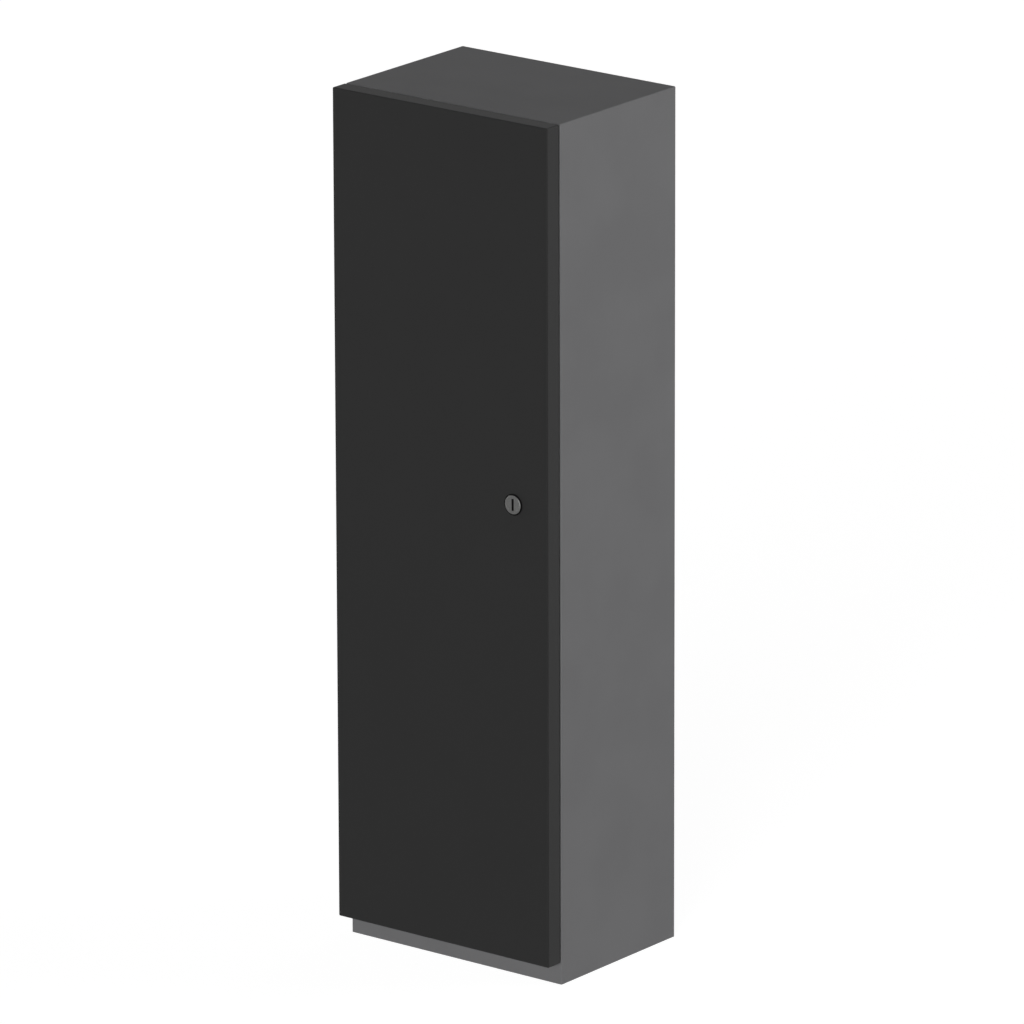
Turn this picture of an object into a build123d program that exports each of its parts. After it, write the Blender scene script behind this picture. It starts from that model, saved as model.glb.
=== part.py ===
from build123d import *
from math import asin, cos, hypot, pi, radians, sin, sqrt
import os

# Boom barrier: cabinet, door, drive and balance, without the boom.
# X runs to the right, -Y to the front (the door) and Z up. The origin is on the ground, at the centre of
# the four foundation bolts. Every length is in millimetres.

os.makedirs("parts", exist_ok=True)

# Clearances and habits shared by all pieces
running = 0.05
free_gap = 0.3
overrun = 5.0

# Cabinet: folded sheet, open at the front and the bottom
width = 302.0
depth = 211.0
height = 1000.0
wall = 2.0
fold_radius = 1.5
hinge_flange = 50.0
lock_flange = 29.0
top_flange = 34.0
plinth_upstand = 64.0

half_width = width / 2
front = -depth / 2
back = depth / 2
inner_side = half_width - wall
inner_front = front + wall
inner_back = back - wall

# Base plate, with slots for the foundation bolts and a cable opening
base_thick = 8.0
anchor_spacing_x = 220.0
anchor_spacing_y = 130.0
anchor_hole_r = 7.0
cable_width = 120.0
cable_depth = 56.0
cable_corner = 10.0

# Door: a full-width tray that lies over the front of the cabinet
door_gap = 3.0
door_depth = 21.0
door_sheet = 1.5
door_bottom = 26.0
door_lip = 30.0
door_hinge_lip = 48.0

door_rear = front - door_gap
door_face = door_rear - door_depth
door_inside = door_face + door_sheet

# Hinges: the pin stands inside the door's fold, so nothing shows when the door is shut
hinge_inset = 7.5
hinge_forward = 14.0
hinge_half = 30.0
knuckle_half = 15.0
knuckle_r = 4.5
hinge_pin_r = 2.5
hinge_plate = 2.5
hinge_neck = 3.0
hinge_neck_inset = 16.0
hinge_foot_width = 15.0
hinge_wing_width = 28.0
hinge_notch_half = 36.0
hinge_notch_width = 30.0
hinge_height_shares = (0.16, 0.86)

hinge_x = -half_width + hinge_inset
hinge_y = front - hinge_forward
hinge_heights = [share * height for share in hinge_height_shares]

# Door seal and stiffener
seal_width = 8.0
seal_inset = 2.0
stiffener_width = 46.0
stiffener_crown = 26.0
stiffener_depth = 14.0
stiffener_end = 150.0

# Lock
lock_inset = 48.0
lock_height_share = 0.561
lock_head_r = 11.5
lock_head_proud = 1.8
lock_bevel = 0.8
lock_barrel_r = 10.0
lock_core_r = 8.2
lock_core_step = 13.0
lock_tail_r = 5.0
lock_slot_width = 3.1
lock_slot_length = 14.0
lock_slot_depth = 6.0
lock_recess = 0.3
lock_nut_across = 26.0
lock_nut_thick = 5.0
lock_barrel_end = 2.0
cam_thick = 3.0
cam_width = 14.0
cam_reach = 32.0
cam_screw_head = 2.5

lock_x = half_width - lock_inset
lock_z = lock_height_share * height
lock_front = door_face - lock_head_proud
lock_rear = inner_front - lock_barrel_end
cam_front = inner_front + free_gap

# Boom shaft and the levers that turn with it
shaft_height_share = 0.86
shaft_r = 17.5
shaft_reach = 187.5
lever_reach = 81.5
lever_thick = 14.0
lever_hub_r = 28.0
lever_hub_length = 30.0
spring_arm = 75.0
spring_eye_r = 16.0
spring_pin_r = 8.0
rod_arm = 50.0
rod_eye_r = 14.0
rod_pin_r = 6.0
stroke = 90.0

shaft_z = shaft_height_share * height
shaft_front = inner_back - shaft_reach
lever_back = inner_back - lever_reach
lever_front = lever_back - lever_thick
lever_mid = (lever_front + lever_back) / 2


def facing(y):
    """A drawing plane across the cabinet at depth y, with x to the right and z up.

    What is drawn on it is extruded towards the door.
    """
    return Plane.XZ.offset(-y)


def turned(radius, angle, centre):
    """The point at this radius and angle, in degrees, round a centre in the X-Z plane."""
    return (centre[0] + radius * cos(radians(angle)), centre[1] + radius * sin(radians(angle)))


def span(low, high):
    """The middle and the length of a stretch."""
    return (low + high) / 2, high - low


# Cabinet shell: sides, back and top in one, with flanges round the door opening
opening_left = -half_width + hinge_flange
opening_right = half_width - lock_flange
opening_low = plinth_upstand
opening_high = height - top_flange
shaft_hole_r = 24.0

with BuildPart() as cabinet_shell:
    with BuildSketch():
        Rectangle(width, depth)
    extrude(amount=height)
    fillet(cabinet_shell.edges().filter_by(Axis.Z), radius=fold_radius)
    fillet(cabinet_shell.faces().sort_by(Axis.Z)[-1].edges(), radius=fold_radius)
    with BuildSketch():
        Rectangle(width - 2 * wall, depth - 2 * wall)
    extrude(amount=height - wall, mode=Mode.SUBTRACT)
    opening_x, opening_width = span(opening_left, opening_right)
    opening_z, opening_height = span(opening_low, opening_high)
    with BuildSketch(facing(inner_front + overrun)):
        with Locations((opening_x, opening_z)):
            Rectangle(opening_width, opening_height)
    extrude(amount=wall + 2 * overrun, mode=Mode.SUBTRACT)
    with BuildSketch(facing(back + overrun)):
        with Locations((0, shaft_z)):
            Circle(shaft_hole_r)
    extrude(amount=wall + 2 * overrun, mode=Mode.SUBTRACT)
cabinet_shell.part.label = "cabinet_shell"
export_step(cabinet_shell.part, "parts/cabinet_shell.step")

# Base plate, welded in flush with the ground
with BuildPart() as base_plate:
    with BuildSketch():
        Rectangle(width - 2 * wall, depth - 2 * wall)
        with GridLocations(anchor_spacing_x, anchor_spacing_y, 2, 2):
            Circle(anchor_hole_r, mode=Mode.SUBTRACT)
        RectangleRounded(cable_width, cable_depth, cable_corner, mode=Mode.SUBTRACT)
    extrude(amount=base_thick)
base_plate.part.label = "base_plate"
export_step(base_plate.part, "parts/base_plate.step")

# Edge guard round the cable opening
guard_thick = 2.0
guard_lip = 3.0
guard_rim = 1.5

with BuildPart() as cable_guard:
    with BuildSketch():
        RectangleRounded(cable_width, cable_depth, cable_corner)
        RectangleRounded(
            cable_width - 2 * guard_thick,
            cable_depth - 2 * guard_thick,
            cable_corner - guard_thick,
            mode=Mode.SUBTRACT,
        )
    extrude(amount=base_thick + guard_rim)
    with BuildSketch(Plane.XY.offset(base_thick)):
        RectangleRounded(cable_width + 2 * guard_lip, cable_depth + 2 * guard_lip, cable_corner + guard_lip)
        RectangleRounded(cable_width, cable_depth, cable_corner, mode=Mode.SUBTRACT)
    extrude(amount=guard_rim)
cable_guard.part.label = "cable_guard"
export_step(cable_guard.part, "parts/cable_guard.step")

# Door: a tray with lips turned in behind, cut away where the hinges pass
door_height = height - door_bottom
door_mid = (height + door_bottom) / 2
lip_left = -half_width + door_hinge_lip
lip_right = half_width - door_lip
lip_low = door_bottom + door_lip
lip_high = height - door_lip

with BuildPart() as door_panel:
    with BuildSketch(facing(door_rear)):
        with Locations((0, door_mid)):
            Rectangle(width, door_height)
    extrude(amount=door_depth)
    fillet(door_panel.edges().filter_by(Axis.Y), radius=fold_radius)
    fillet(door_panel.faces().sort_by(Axis.Y)[0].edges(), radius=fold_radius)
    with BuildSketch(facing(door_rear - door_sheet)):
        with Locations((0, door_mid)):
            Rectangle(width - 2 * door_sheet, door_height - 2 * door_sheet)
    extrude(amount=door_depth - 2 * door_sheet, mode=Mode.SUBTRACT)
    lip_x, lip_width = span(lip_left, lip_right)
    lip_z, lip_height = span(lip_low, lip_high)
    notch_x, notch_width = span(-half_width + door_sheet, -half_width + hinge_notch_width)
    with BuildSketch(facing(door_rear + overrun)):
        with Locations((lip_x, lip_z)):
            Rectangle(lip_width, lip_height)
        for hinge_z in hinge_heights:
            with Locations((notch_x, hinge_z)):
                Rectangle(notch_width, 2 * hinge_notch_half)
    extrude(amount=overrun + 2 * door_sheet, mode=Mode.SUBTRACT)
    with BuildSketch(facing(door_rear)):
        with Locations((lock_x, lock_z)):
            Circle(lock_barrel_r + running)
    extrude(amount=door_depth + overrun, mode=Mode.SUBTRACT)
door_panel.part.label = "door_panel"
export_step(door_panel.part, "parts/door_panel.step")

# Stiffener: a hat section down the middle of the door
crown_half = stiffener_crown / 2
brim_half = stiffener_width / 2

with BuildPart() as door_stiffener:
    with BuildSketch(Plane.XY.offset(door_bottom + stiffener_end)):
        with BuildLine():
            Polyline(
                (-brim_half, door_inside),
                (brim_half, door_inside),
                (brim_half, door_inside + door_sheet),
                (crown_half + door_sheet, door_inside + door_sheet),
                (crown_half, door_inside + stiffener_depth),
                (-crown_half, door_inside + stiffener_depth),
                (-crown_half - door_sheet, door_inside + door_sheet),
                (-brim_half, door_inside + door_sheet),
                close=True,
            )
        make_face()
        with BuildLine():
            Polyline(
                (-crown_half, door_inside),
                (crown_half, door_inside),
                (crown_half - door_sheet, door_inside + stiffener_depth - door_sheet),
                (-crown_half + door_sheet, door_inside + stiffener_depth - door_sheet),
                close=True,
            )
        make_face(mode=Mode.SUBTRACT)
    extrude(amount=door_height - 2 * stiffener_end)
door_stiffener.part.label = "door_stiffener"
export_step(door_stiffener.part, "parts/door_stiffener.step")

# Seal: a foam strip on the cabinet's flanges, which the door's lips press on
seal_left = opening_left - seal_inset - seal_width
seal_right = opening_right + seal_inset + seal_width
seal_low = opening_low - seal_inset - seal_width
seal_high = opening_high + seal_inset + seal_width

with BuildPart() as door_seal:
    seal_x, seal_across = span(seal_left, seal_right)
    seal_z, seal_up = span(seal_low, seal_high)
    with BuildSketch(facing(front)):
        with Locations((seal_x, seal_z)):
            Rectangle(seal_across, seal_up)
            Rectangle(seal_across - 2 * seal_width, seal_up - 2 * seal_width, mode=Mode.SUBTRACT)
    extrude(amount=door_gap - free_gap)
door_seal.part.label = "door_seal"
export_step(door_seal.part, "parts/door_seal.step")

# Hinges: a gooseneck leaf on the cabinet, a wing on the door and a pin through both
foot_left = hinge_x + hinge_neck_inset

with BuildPart() as hinge_leaves:
    for hinge_z in hinge_heights:
        with BuildSketch(Plane.XY.offset(hinge_z - knuckle_half)):
            with BuildLine():
                Polyline(
                    (hinge_x, hinge_y - knuckle_r),
                    (foot_left + hinge_neck, hinge_y - knuckle_r),
                    (foot_left + hinge_neck, front),
                    (foot_left, front),
                    (foot_left, hinge_y - knuckle_r + hinge_neck),
                    (hinge_x, hinge_y - knuckle_r + hinge_neck),
                    close=True,
                )
            make_face()
            with Locations((hinge_x, hinge_y)):
                Circle(knuckle_r)
        extrude(amount=2 * knuckle_half)
        with BuildSketch(Plane.XY.offset(hinge_z - hinge_half)):
            with Locations((foot_left, front)):
                Rectangle(hinge_foot_width, hinge_plate, align=(Align.MIN, Align.MAX))
        extrude(amount=2 * hinge_half)
        with BuildSketch(Plane.XY.offset(hinge_z - hinge_half)):
            with Locations((hinge_x, hinge_y)):
                Circle(hinge_pin_r + running)
        extrude(amount=2 * hinge_half, mode=Mode.SUBTRACT)
hinge_leaves.part.label = "hinge_leaves"
export_step(hinge_leaves.part, "parts/hinge_leaves.step")

with BuildPart() as hinge_wings:
    for hinge_z in hinge_heights:
        with BuildSketch(Plane.XY.offset(hinge_z - hinge_half)):
            with Locations((hinge_x - knuckle_r, door_inside)):
                Rectangle(hinge_wing_width, hinge_plate, align=(Align.MIN, Align.MIN))
                Rectangle(2 * knuckle_r, hinge_y - door_inside, align=(Align.MIN, Align.MIN))
            with Locations((hinge_x, hinge_y)):
                Circle(knuckle_r)
        extrude(amount=2 * hinge_half)
        with BuildSketch(Plane.XY.offset(hinge_z - knuckle_half - free_gap)):
            with Locations((hinge_x - overrun, door_inside + hinge_plate)):
                Rectangle(hinge_wing_width, door_depth, align=(Align.MIN, Align.MIN))
        extrude(amount=2 * (knuckle_half + free_gap), mode=Mode.SUBTRACT)
        with BuildSketch(Plane.XY.offset(hinge_z - hinge_half)):
            with Locations((hinge_x, hinge_y)):
                Circle(hinge_pin_r + running)
        extrude(amount=2 * hinge_half, mode=Mode.SUBTRACT)
hinge_wings.part.label = "hinge_wings"
export_step(hinge_wings.part, "parts/hinge_wings.step")

with BuildPart() as hinge_pins:
    for hinge_z in hinge_heights:
        with BuildSketch(Plane.XY.offset(hinge_z - hinge_half)):
            with Locations((hinge_x, hinge_y)):
                Circle(hinge_pin_r)
        extrude(amount=2 * hinge_half + free_gap)
        with BuildSketch(Plane.XY.offset(hinge_z + hinge_half + free_gap)):
            with Locations((hinge_x, hinge_y)):
                Circle(knuckle_r)
        extrude(amount=hinge_pin_r)
hinge_pins.part.label = "hinge_pins"
export_step(hinge_pins.part, "parts/hinge_pins.step")

# Lock: a round head on a threaded barrel, with a core that turns the cam
with BuildPart() as lock_body:
    with BuildSketch(facing(door_face)):
        with Locations((lock_x, lock_z)):
            Circle(lock_head_r)
    extrude(amount=lock_head_proud)
    chamfer(lock_body.faces().sort_by(Axis.Y)[0].edges(), length=lock_bevel)
    with BuildSketch(facing(lock_rear)):
        with Locations((lock_x, lock_z)):
            Circle(lock_barrel_r)
    extrude(amount=lock_rear - door_face)
    with BuildSketch(facing(lock_front + lock_core_step)):
        with Locations((lock_x, lock_z)):
            Circle(lock_core_r + running)
    extrude(amount=lock_core_step, mode=Mode.SUBTRACT)
    with BuildSketch(facing(lock_rear)):
        with Locations((lock_x, lock_z)):
            Circle(lock_tail_r + running)
    extrude(amount=lock_rear - lock_front, mode=Mode.SUBTRACT)
lock_body.part.label = "lock_body"
export_step(lock_body.part, "parts/lock_body.step")

with BuildPart() as lock_nut:
    with BuildSketch(facing(door_inside + lock_nut_thick)):
        with Locations((lock_x, lock_z)):
            RegularPolygon(lock_nut_across / 2, 6, major_radius=False)
            Circle(lock_barrel_r + running, mode=Mode.SUBTRACT)
    extrude(amount=lock_nut_thick)
lock_nut.part.label = "lock_nut"
export_step(lock_nut.part, "parts/lock_nut.step")

core_front = lock_front + lock_recess
core_end = cam_front + cam_thick

with BuildPart() as lock_core:
    with BuildSketch(facing(lock_front + lock_core_step)):
        with Locations((lock_x, lock_z)):
            Circle(lock_core_r)
    extrude(amount=lock_core_step - lock_recess)
    with BuildSketch(facing(core_end)):
        with Locations((lock_x, lock_z)):
            Circle(lock_tail_r)
    extrude(amount=core_end - core_front)
    with BuildSketch(facing(core_end + cam_screw_head)):
        with Locations((lock_x, lock_z)):
            RegularPolygon(lock_tail_r + cam_screw_head, 6)
    extrude(amount=cam_screw_head)
    with BuildSketch(facing(core_front + lock_slot_depth)):
        with Locations((lock_x, lock_z)):
            Rectangle(lock_slot_width, lock_slot_length)
    extrude(amount=lock_slot_depth + lock_recess, mode=Mode.SUBTRACT)
lock_core.part.label = "lock_core"
export_step(lock_core.part, "parts/lock_core.step")

with BuildPart() as lock_cam:
    with BuildSketch(facing(cam_front + cam_thick)):
        with Locations((lock_x, lock_z - cam_reach / 2)):
            SlotOverall(cam_reach + cam_width, cam_width, rotation=90)
        with Locations((lock_x, lock_z)):
            Circle(lock_tail_r + running, mode=Mode.SUBTRACT)
    extrude(amount=cam_thick)
lock_cam.part.label = "lock_cam"
export_step(lock_cam.part, "parts/lock_cam.step")

# Drive plate on the back wall, and the bridge that carries the front bearing
plate_thick = 8.0
plate_side_gap = 19.0
plate_above = 80.0
plate_below = 380.0
bridge_thick = 6.0
bridge_reach = 147.5
bridge_half = 48.0
bridge_foot = 30.0
bore_r = shaft_r + running

plate_front = inner_back - plate_thick
plate_half_width = inner_side - plate_side_gap
plate_low = shaft_z - plate_below
plate_high = shaft_z + plate_above
bridge_front = inner_back - bridge_reach
bridge_back = bridge_front + bridge_thick

with BuildPart() as drive_plate:
    plate_z, plate_height = span(plate_low, plate_high)
    with BuildSketch(facing(inner_back)):
        with Locations((0, plate_z)):
            Rectangle(2 * plate_half_width, plate_height)
        with Locations((0, shaft_z)):
            Circle(shaft_hole_r, mode=Mode.SUBTRACT)
    extrude(amount=plate_thick)
drive_plate.part.label = "drive_plate"
export_step(drive_plate.part, "parts/drive_plate.step")

with BuildPart() as bearing_bridge:
    with BuildSketch(Plane.XY.offset(shaft_z - bridge_half)):
        with BuildLine():
            Polyline(
                (-inner_side, bridge_front),
                (inner_side, bridge_front),
                (inner_side, bridge_back + bridge_foot),
                (inner_side - bridge_thick, bridge_back + bridge_foot),
                (inner_side - bridge_thick, bridge_back),
                (-inner_side + bridge_thick, bridge_back),
                (-inner_side + bridge_thick, bridge_back + bridge_foot),
                (-inner_side, bridge_back + bridge_foot),
                close=True,
            )
        make_face()
    extrude(amount=2 * bridge_half)
    with BuildSketch(facing(bridge_back + overrun)):
        with Locations((0, shaft_z)):
            Circle(shaft_hole_r)
    extrude(amount=bridge_thick + 2 * overrun, mode=Mode.SUBTRACT)
bearing_bridge.part.label = "bearing_bridge"
export_step(bearing_bridge.part, "parts/bearing_bridge.step")

# Flange bearings, each on four bolts
bearing_square = 92.0
bearing_corner = 14.0
bearing_flange = 13.0
bearing_boss_r = 33.0
bearing_boss = 10.0
bearing_bolt_spacing = 66.0
bolt_r = 5.0
bolt_head = 6.5
bolt_head_r = 9.0
shaft_chamfer = 1.0

for place, seat in (("front", bridge_front), ("rear", plate_front)):
    with BuildPart() as bearing:
        with BuildSketch(facing(seat)):
            with Locations((0, shaft_z)):
                RectangleRounded(bearing_square, bearing_square, bearing_corner)
                with GridLocations(bearing_bolt_spacing, bearing_bolt_spacing, 2, 2):
                    Circle(bolt_r + running, mode=Mode.SUBTRACT)
        extrude(amount=bearing_flange)
        with BuildSketch(facing(seat - bearing_flange)):
            with Locations((0, shaft_z)):
                Circle(bearing_boss_r)
        extrude(amount=bearing_boss)
        with BuildSketch(facing(seat)):
            with Locations((0, shaft_z)):
                Circle(bore_r)
        extrude(amount=bearing_flange + bearing_boss, mode=Mode.SUBTRACT)
    bearing.part.label = f"{place}_bearing"
    export_step(bearing.part, f"parts/{place}_bearing.step")

with BuildPart() as bearing_bolts:
    for seat in (bridge_front, plate_front):
        with BuildSketch(facing(seat)):
            with Locations((0, shaft_z)):
                with GridLocations(bearing_bolt_spacing, bearing_bolt_spacing, 2, 2):
                    Circle(bolt_r)
        extrude(amount=bearing_flange)
        with BuildSketch(facing(seat - bearing_flange)):
            with Locations((0, shaft_z)):
                with GridLocations(bearing_bolt_spacing, bearing_bolt_spacing, 2, 2):
                    RegularPolygon(bolt_head_r, 6)
        extrude(amount=bolt_head)
bearing_bolts.part.label = "bearing_bolts"
export_step(bearing_bolts.part, "parts/bearing_bolts.step")

# Boom flange on the rear end of the shaft, outside the cabinet
cover_thick = 4.0
cover_r = 46.0
flange_gap = 0.5
flange_neck_r = 30.0
flange_neck = 3.0
flange_r = 60.0
flange_thick = 12.0
flange_pitch_r = 45.0
flange_bolts = 4
flange_hole_r = 5.5
cap_r = 24.0
cap_thick = 5.0
cap_head_r = 11.0
cap_head = 8.0

neck_front = back + cover_thick + flange_gap
flange_front = neck_front + flange_neck
shaft_rear = flange_front + flange_thick

with BuildPart() as shaft_cover:
    with BuildSketch(facing(back + cover_thick)):
        with Locations((0, shaft_z)):
            Circle(cover_r)
            Circle(shaft_r + free_gap, mode=Mode.SUBTRACT)
    extrude(amount=cover_thick)
    outer_rim = shaft_cover.faces().sort_by(Axis.Y)[-1].outer_wire().edges()
    chamfer(outer_rim, length=cover_thick / 2)
shaft_cover.part.label = "shaft_cover"
export_step(shaft_cover.part, "parts/shaft_cover.step")

with BuildPart() as main_shaft:
    with BuildSketch(facing(shaft_rear)):
        with Locations((0, shaft_z)):
            Circle(shaft_r)
    extrude(amount=shaft_rear - shaft_front)
    chamfer(main_shaft.edges().filter_by(GeomType.CIRCLE), length=shaft_chamfer)
main_shaft.part.label = "main_shaft"
export_step(main_shaft.part, "parts/main_shaft.step")

with BuildPart() as boom_flange:
    with BuildSketch(facing(shaft_rear)):
        with Locations((0, shaft_z)):
            Circle(flange_r)
            with PolarLocations(flange_pitch_r, flange_bolts, start_angle=45):
                Circle(flange_hole_r, mode=Mode.SUBTRACT)
    extrude(amount=flange_thick)
    with BuildSketch(facing(flange_front)):
        with Locations((0, shaft_z)):
            Circle(flange_neck_r)
    extrude(amount=flange_neck)
    with BuildSketch(facing(shaft_rear)):
        with Locations((0, shaft_z)):
            Circle(bore_r)
    extrude(amount=shaft_rear - neck_front, mode=Mode.SUBTRACT)
boom_flange.part.label = "boom_flange"
export_step(boom_flange.part, "parts/boom_flange.step")

with BuildPart() as shaft_cap:
    with BuildSketch(facing(shaft_rear + cap_thick)):
        with Locations((0, shaft_z)):
            Circle(cap_r)
    extrude(amount=cap_thick)
    with BuildSketch(facing(shaft_rear + cap_thick + cap_head)):
        with Locations((0, shaft_z)):
            RegularPolygon(cap_head_r, 6)
    extrude(amount=cap_head)
shaft_cap.part.label = "shaft_cap"
export_step(shaft_cap.part, "parts/shaft_cap.step")

# Boom crank: one arm for the springs, one for the drive rod
shaft_centre = (0, shaft_z)
spring_eye = (spring_arm, shaft_z)
rod_eye = turned(rod_arm, -180 + stroke / 2, shaft_centre)

with BuildPart() as boom_crank:
    for reach, eye_r in ((spring_eye, spring_eye_r), (rod_eye, rod_eye_r)):
        with BuildSketch(facing(lever_back)):
            with Locations(shaft_centre):
                Circle(lever_hub_r)
            with Locations(reach):
                Circle(eye_r)
            make_hull()
        extrude(amount=lever_thick)
    with BuildSketch(facing(lever_mid + lever_hub_length / 2)):
        with Locations(shaft_centre):
            Circle(lever_hub_r)
    extrude(amount=lever_hub_length)
    for centre, hole_r in ((shaft_centre, shaft_r), (spring_eye, spring_pin_r), (rod_eye, rod_pin_r)):
        with BuildSketch(facing(lever_mid + lever_hub_length / 2)):
            with Locations(centre):
                Circle(hole_r + running)
        extrude(amount=lever_hub_length, mode=Mode.SUBTRACT)
boom_crank.part.label = "boom_crank"
export_step(boom_crank.part, "parts/boom_crank.step")

# Limit disc on the front end of the shaft, with two flats that the sensors read
disc_r = 45.0
disc_thick = 4.0
disc_hub_r = 24.0
disc_hub = 12.0
disc_flat = 38.0
disc_reach = 175.5

disc_y = inner_back - disc_reach

with BuildPart() as limit_disc:
    with BuildSketch(facing(disc_y)):
        with Locations(shaft_centre):
            Circle(disc_r)
        with Locations((disc_flat, shaft_z)):
            Rectangle(disc_r, 2 * disc_r, align=(Align.MIN, Align.MAX), mode=Mode.SUBTRACT)
    extrude(amount=disc_thick)
    with BuildSketch(facing(disc_y)):
        with Locations(shaft_centre):
            Circle(disc_hub_r)
    extrude(amount=disc_hub)
    with BuildSketch(facing(disc_y)):
        with Locations(shaft_centre):
            Circle(bore_r)
    extrude(amount=disc_hub, mode=Mode.SUBTRACT)
limit_disc.part.label = "limit_disc"
export_step(limit_disc.part, "parts/limit_disc.step")

# Sensor bracket on the bridge, with two sensors that face the disc's edge
sensor_r = 6.0
sensor_length = 42.0
sensor_gap = 2.0
sensor_spread = 16.0
bracket_x = 66.0
bracket_thick = 3.0
bracket_half = 34.0
bracket_foot = 24.0
sensor_y = disc_y - disc_thick / 2
bracket_front = sensor_y - sensor_r - bracket_thick

with BuildPart() as sensor_bracket:
    with BuildSketch(Plane.XY.offset(shaft_z - bracket_half)):
        with BuildLine():
            Polyline(
                (bracket_x, bracket_front),
                (bracket_x + bracket_thick, bracket_front),
                (bracket_x + bracket_thick, bridge_front - bracket_thick),
                (bracket_x + bracket_foot, bridge_front - bracket_thick),
                (bracket_x + bracket_foot, bridge_front),
                (bracket_x, bridge_front),
                close=True,
            )
        make_face()
    extrude(amount=2 * bracket_half)
    with BuildSketch(Plane.YZ.offset(bracket_x)):
        with Locations((sensor_y, shaft_z - sensor_spread), (sensor_y, shaft_z + sensor_spread)):
            Circle(sensor_r + running)
    extrude(amount=bracket_thick, mode=Mode.SUBTRACT)
sensor_bracket.part.label = "sensor_bracket"
export_step(sensor_bracket.part, "parts/sensor_bracket.step")

with BuildPart() as limit_sensors:
    with BuildSketch(Plane.YZ.offset(disc_r + sensor_gap)):
        with Locations((sensor_y, shaft_z - sensor_spread), (sensor_y, shaft_z + sensor_spread)):
            Circle(sensor_r)
    extrude(amount=sensor_length)
limit_sensors.part.label = "limit_sensors"
export_step(limit_sensors.part, "parts/limit_sensors.step")

# Stops: two steel blocks on the drive plate, each with a rubber buffer for the spring arm
buffer_r = 8.0
buffer_thick = 8.0
stop_block = 24.0
stop_thick = 18.0
buffer_reach = 67.0

arm_lean = asin((lever_hub_r - spring_eye_r) / spring_arm)
arm_half = (lever_hub_r - (buffer_reach - buffer_r) * sin(arm_lean)) / cos(arm_lean)
buffer_face = arm_half + free_gap
stop_face = buffer_face + buffer_thick
shut_stop_low = shaft_z + stop_face
open_stop_right = -stop_face
open_stop_z = shaft_z - buffer_reach

with BuildPart() as stop_blocks:
    with BuildSketch(facing(plate_front)):
        with Locations((buffer_reach, shut_stop_low)):
            Rectangle(stop_block, stop_thick, align=(Align.CENTER, Align.MIN))
        with Locations((open_stop_right, open_stop_z)):
            Rectangle(stop_thick, stop_block, align=(Align.MAX, Align.CENTER))
    extrude(amount=plate_front - lever_front)
stop_blocks.part.label = "stop_blocks"
export_step(stop_blocks.part, "parts/stop_blocks.step")

with BuildPart() as stop_buffers:
    with BuildSketch(Plane.XY.offset(shaft_z + buffer_face)):
        with Locations((buffer_reach, lever_mid)):
            Circle(buffer_r)
    extrude(amount=buffer_thick)
    with BuildSketch(Plane.YZ.offset(open_stop_right)):
        with Locations((lever_mid, open_stop_z)):
            Circle(buffer_r)
    extrude(amount=buffer_thick)
stop_buffers.part.label = "stop_buffers"
export_step(stop_buffers.part, "parts/stop_buffers.step")

# Worm gearbox: a hollow case on the drive plate, closed by a cover in front
gear_x = -72.0
gear_height_share = 0.58
gear_reach = 47.5
case_reach = 76.5
case_wall = 6.0
case_left = 40.0
case_right = 54.0
case_half = 42.0
case_corner = 10.0
cover_plate = 6.0
cover_boss_r = 24.0
cover_boss = 3.0
output_r = 12.5
worm_offset = 38.0
worm_r = 9.0
worm_groove = 2.2
worm_step = 5.0
worm_threads = 7
worm_shaft_r = 6.0
wheel_thick = 14.0
wheel_hub_r = 18.0
wheel_hub = 24.0
wheel_teeth = 30
tooth_depth = 3.0
cover_screw_r = 3.0
cover_screw_inset = 8.0
cover_screw_head_r = 5.0
cover_screw_head = 4.0

gear_y = inner_back - gear_reach
gear_z = gear_height_share * height
gear_centre = (gear_x, gear_z)
case_front = inner_back - case_reach
worm_x = gear_x + worm_offset
case_x, case_width = span(gear_x - case_left, gear_x + case_right)
case_back = plate_front
cavity_front = case_front + cover_plate
cavity_back = case_back - case_wall
cavity_width = case_width - 2 * case_wall
cavity_height = 2 * (case_half - case_wall)

with BuildPart() as gearbox_case:
    with BuildSketch(facing(case_back)):
        with Locations((case_x, gear_z)):
            RectangleRounded(case_width, 2 * case_half, case_corner)
    extrude(amount=case_back - cavity_front)
    with BuildSketch(facing(cavity_back)):
        with Locations((case_x, gear_z)):
            RectangleRounded(cavity_width, cavity_height, case_corner - case_wall)
    extrude(amount=cavity_back - cavity_front, mode=Mode.SUBTRACT)
    with BuildSketch(Plane.XY.offset(gear_z - case_half)):
        with Locations((worm_x, gear_y)):
            Circle(worm_shaft_r + running)
    extrude(amount=2 * case_half, mode=Mode.SUBTRACT)
gearbox_case.part.label = "gearbox_case"
export_step(gearbox_case.part, "parts/gearbox_case.step")

screw_pitch_x = case_width - 2 * cover_screw_inset
screw_pitch_z = 2 * (case_half - cover_screw_inset)

with BuildPart() as gearbox_cover:
    with BuildSketch(facing(cavity_front)):
        with Locations((case_x, gear_z)):
            RectangleRounded(case_width, 2 * case_half, case_corner)
    extrude(amount=cover_plate)
    with BuildSketch(facing(case_front)):
        with Locations(gear_centre):
            Circle(cover_boss_r)
    extrude(amount=cover_boss)
    with BuildSketch(facing(cavity_front)):
        with Locations(gear_centre):
            Circle(output_r + running)
    extrude(amount=cover_plate + cover_boss, mode=Mode.SUBTRACT)
gearbox_cover.part.label = "gearbox_cover"
export_step(gearbox_cover.part, "parts/gearbox_cover.step")

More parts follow.
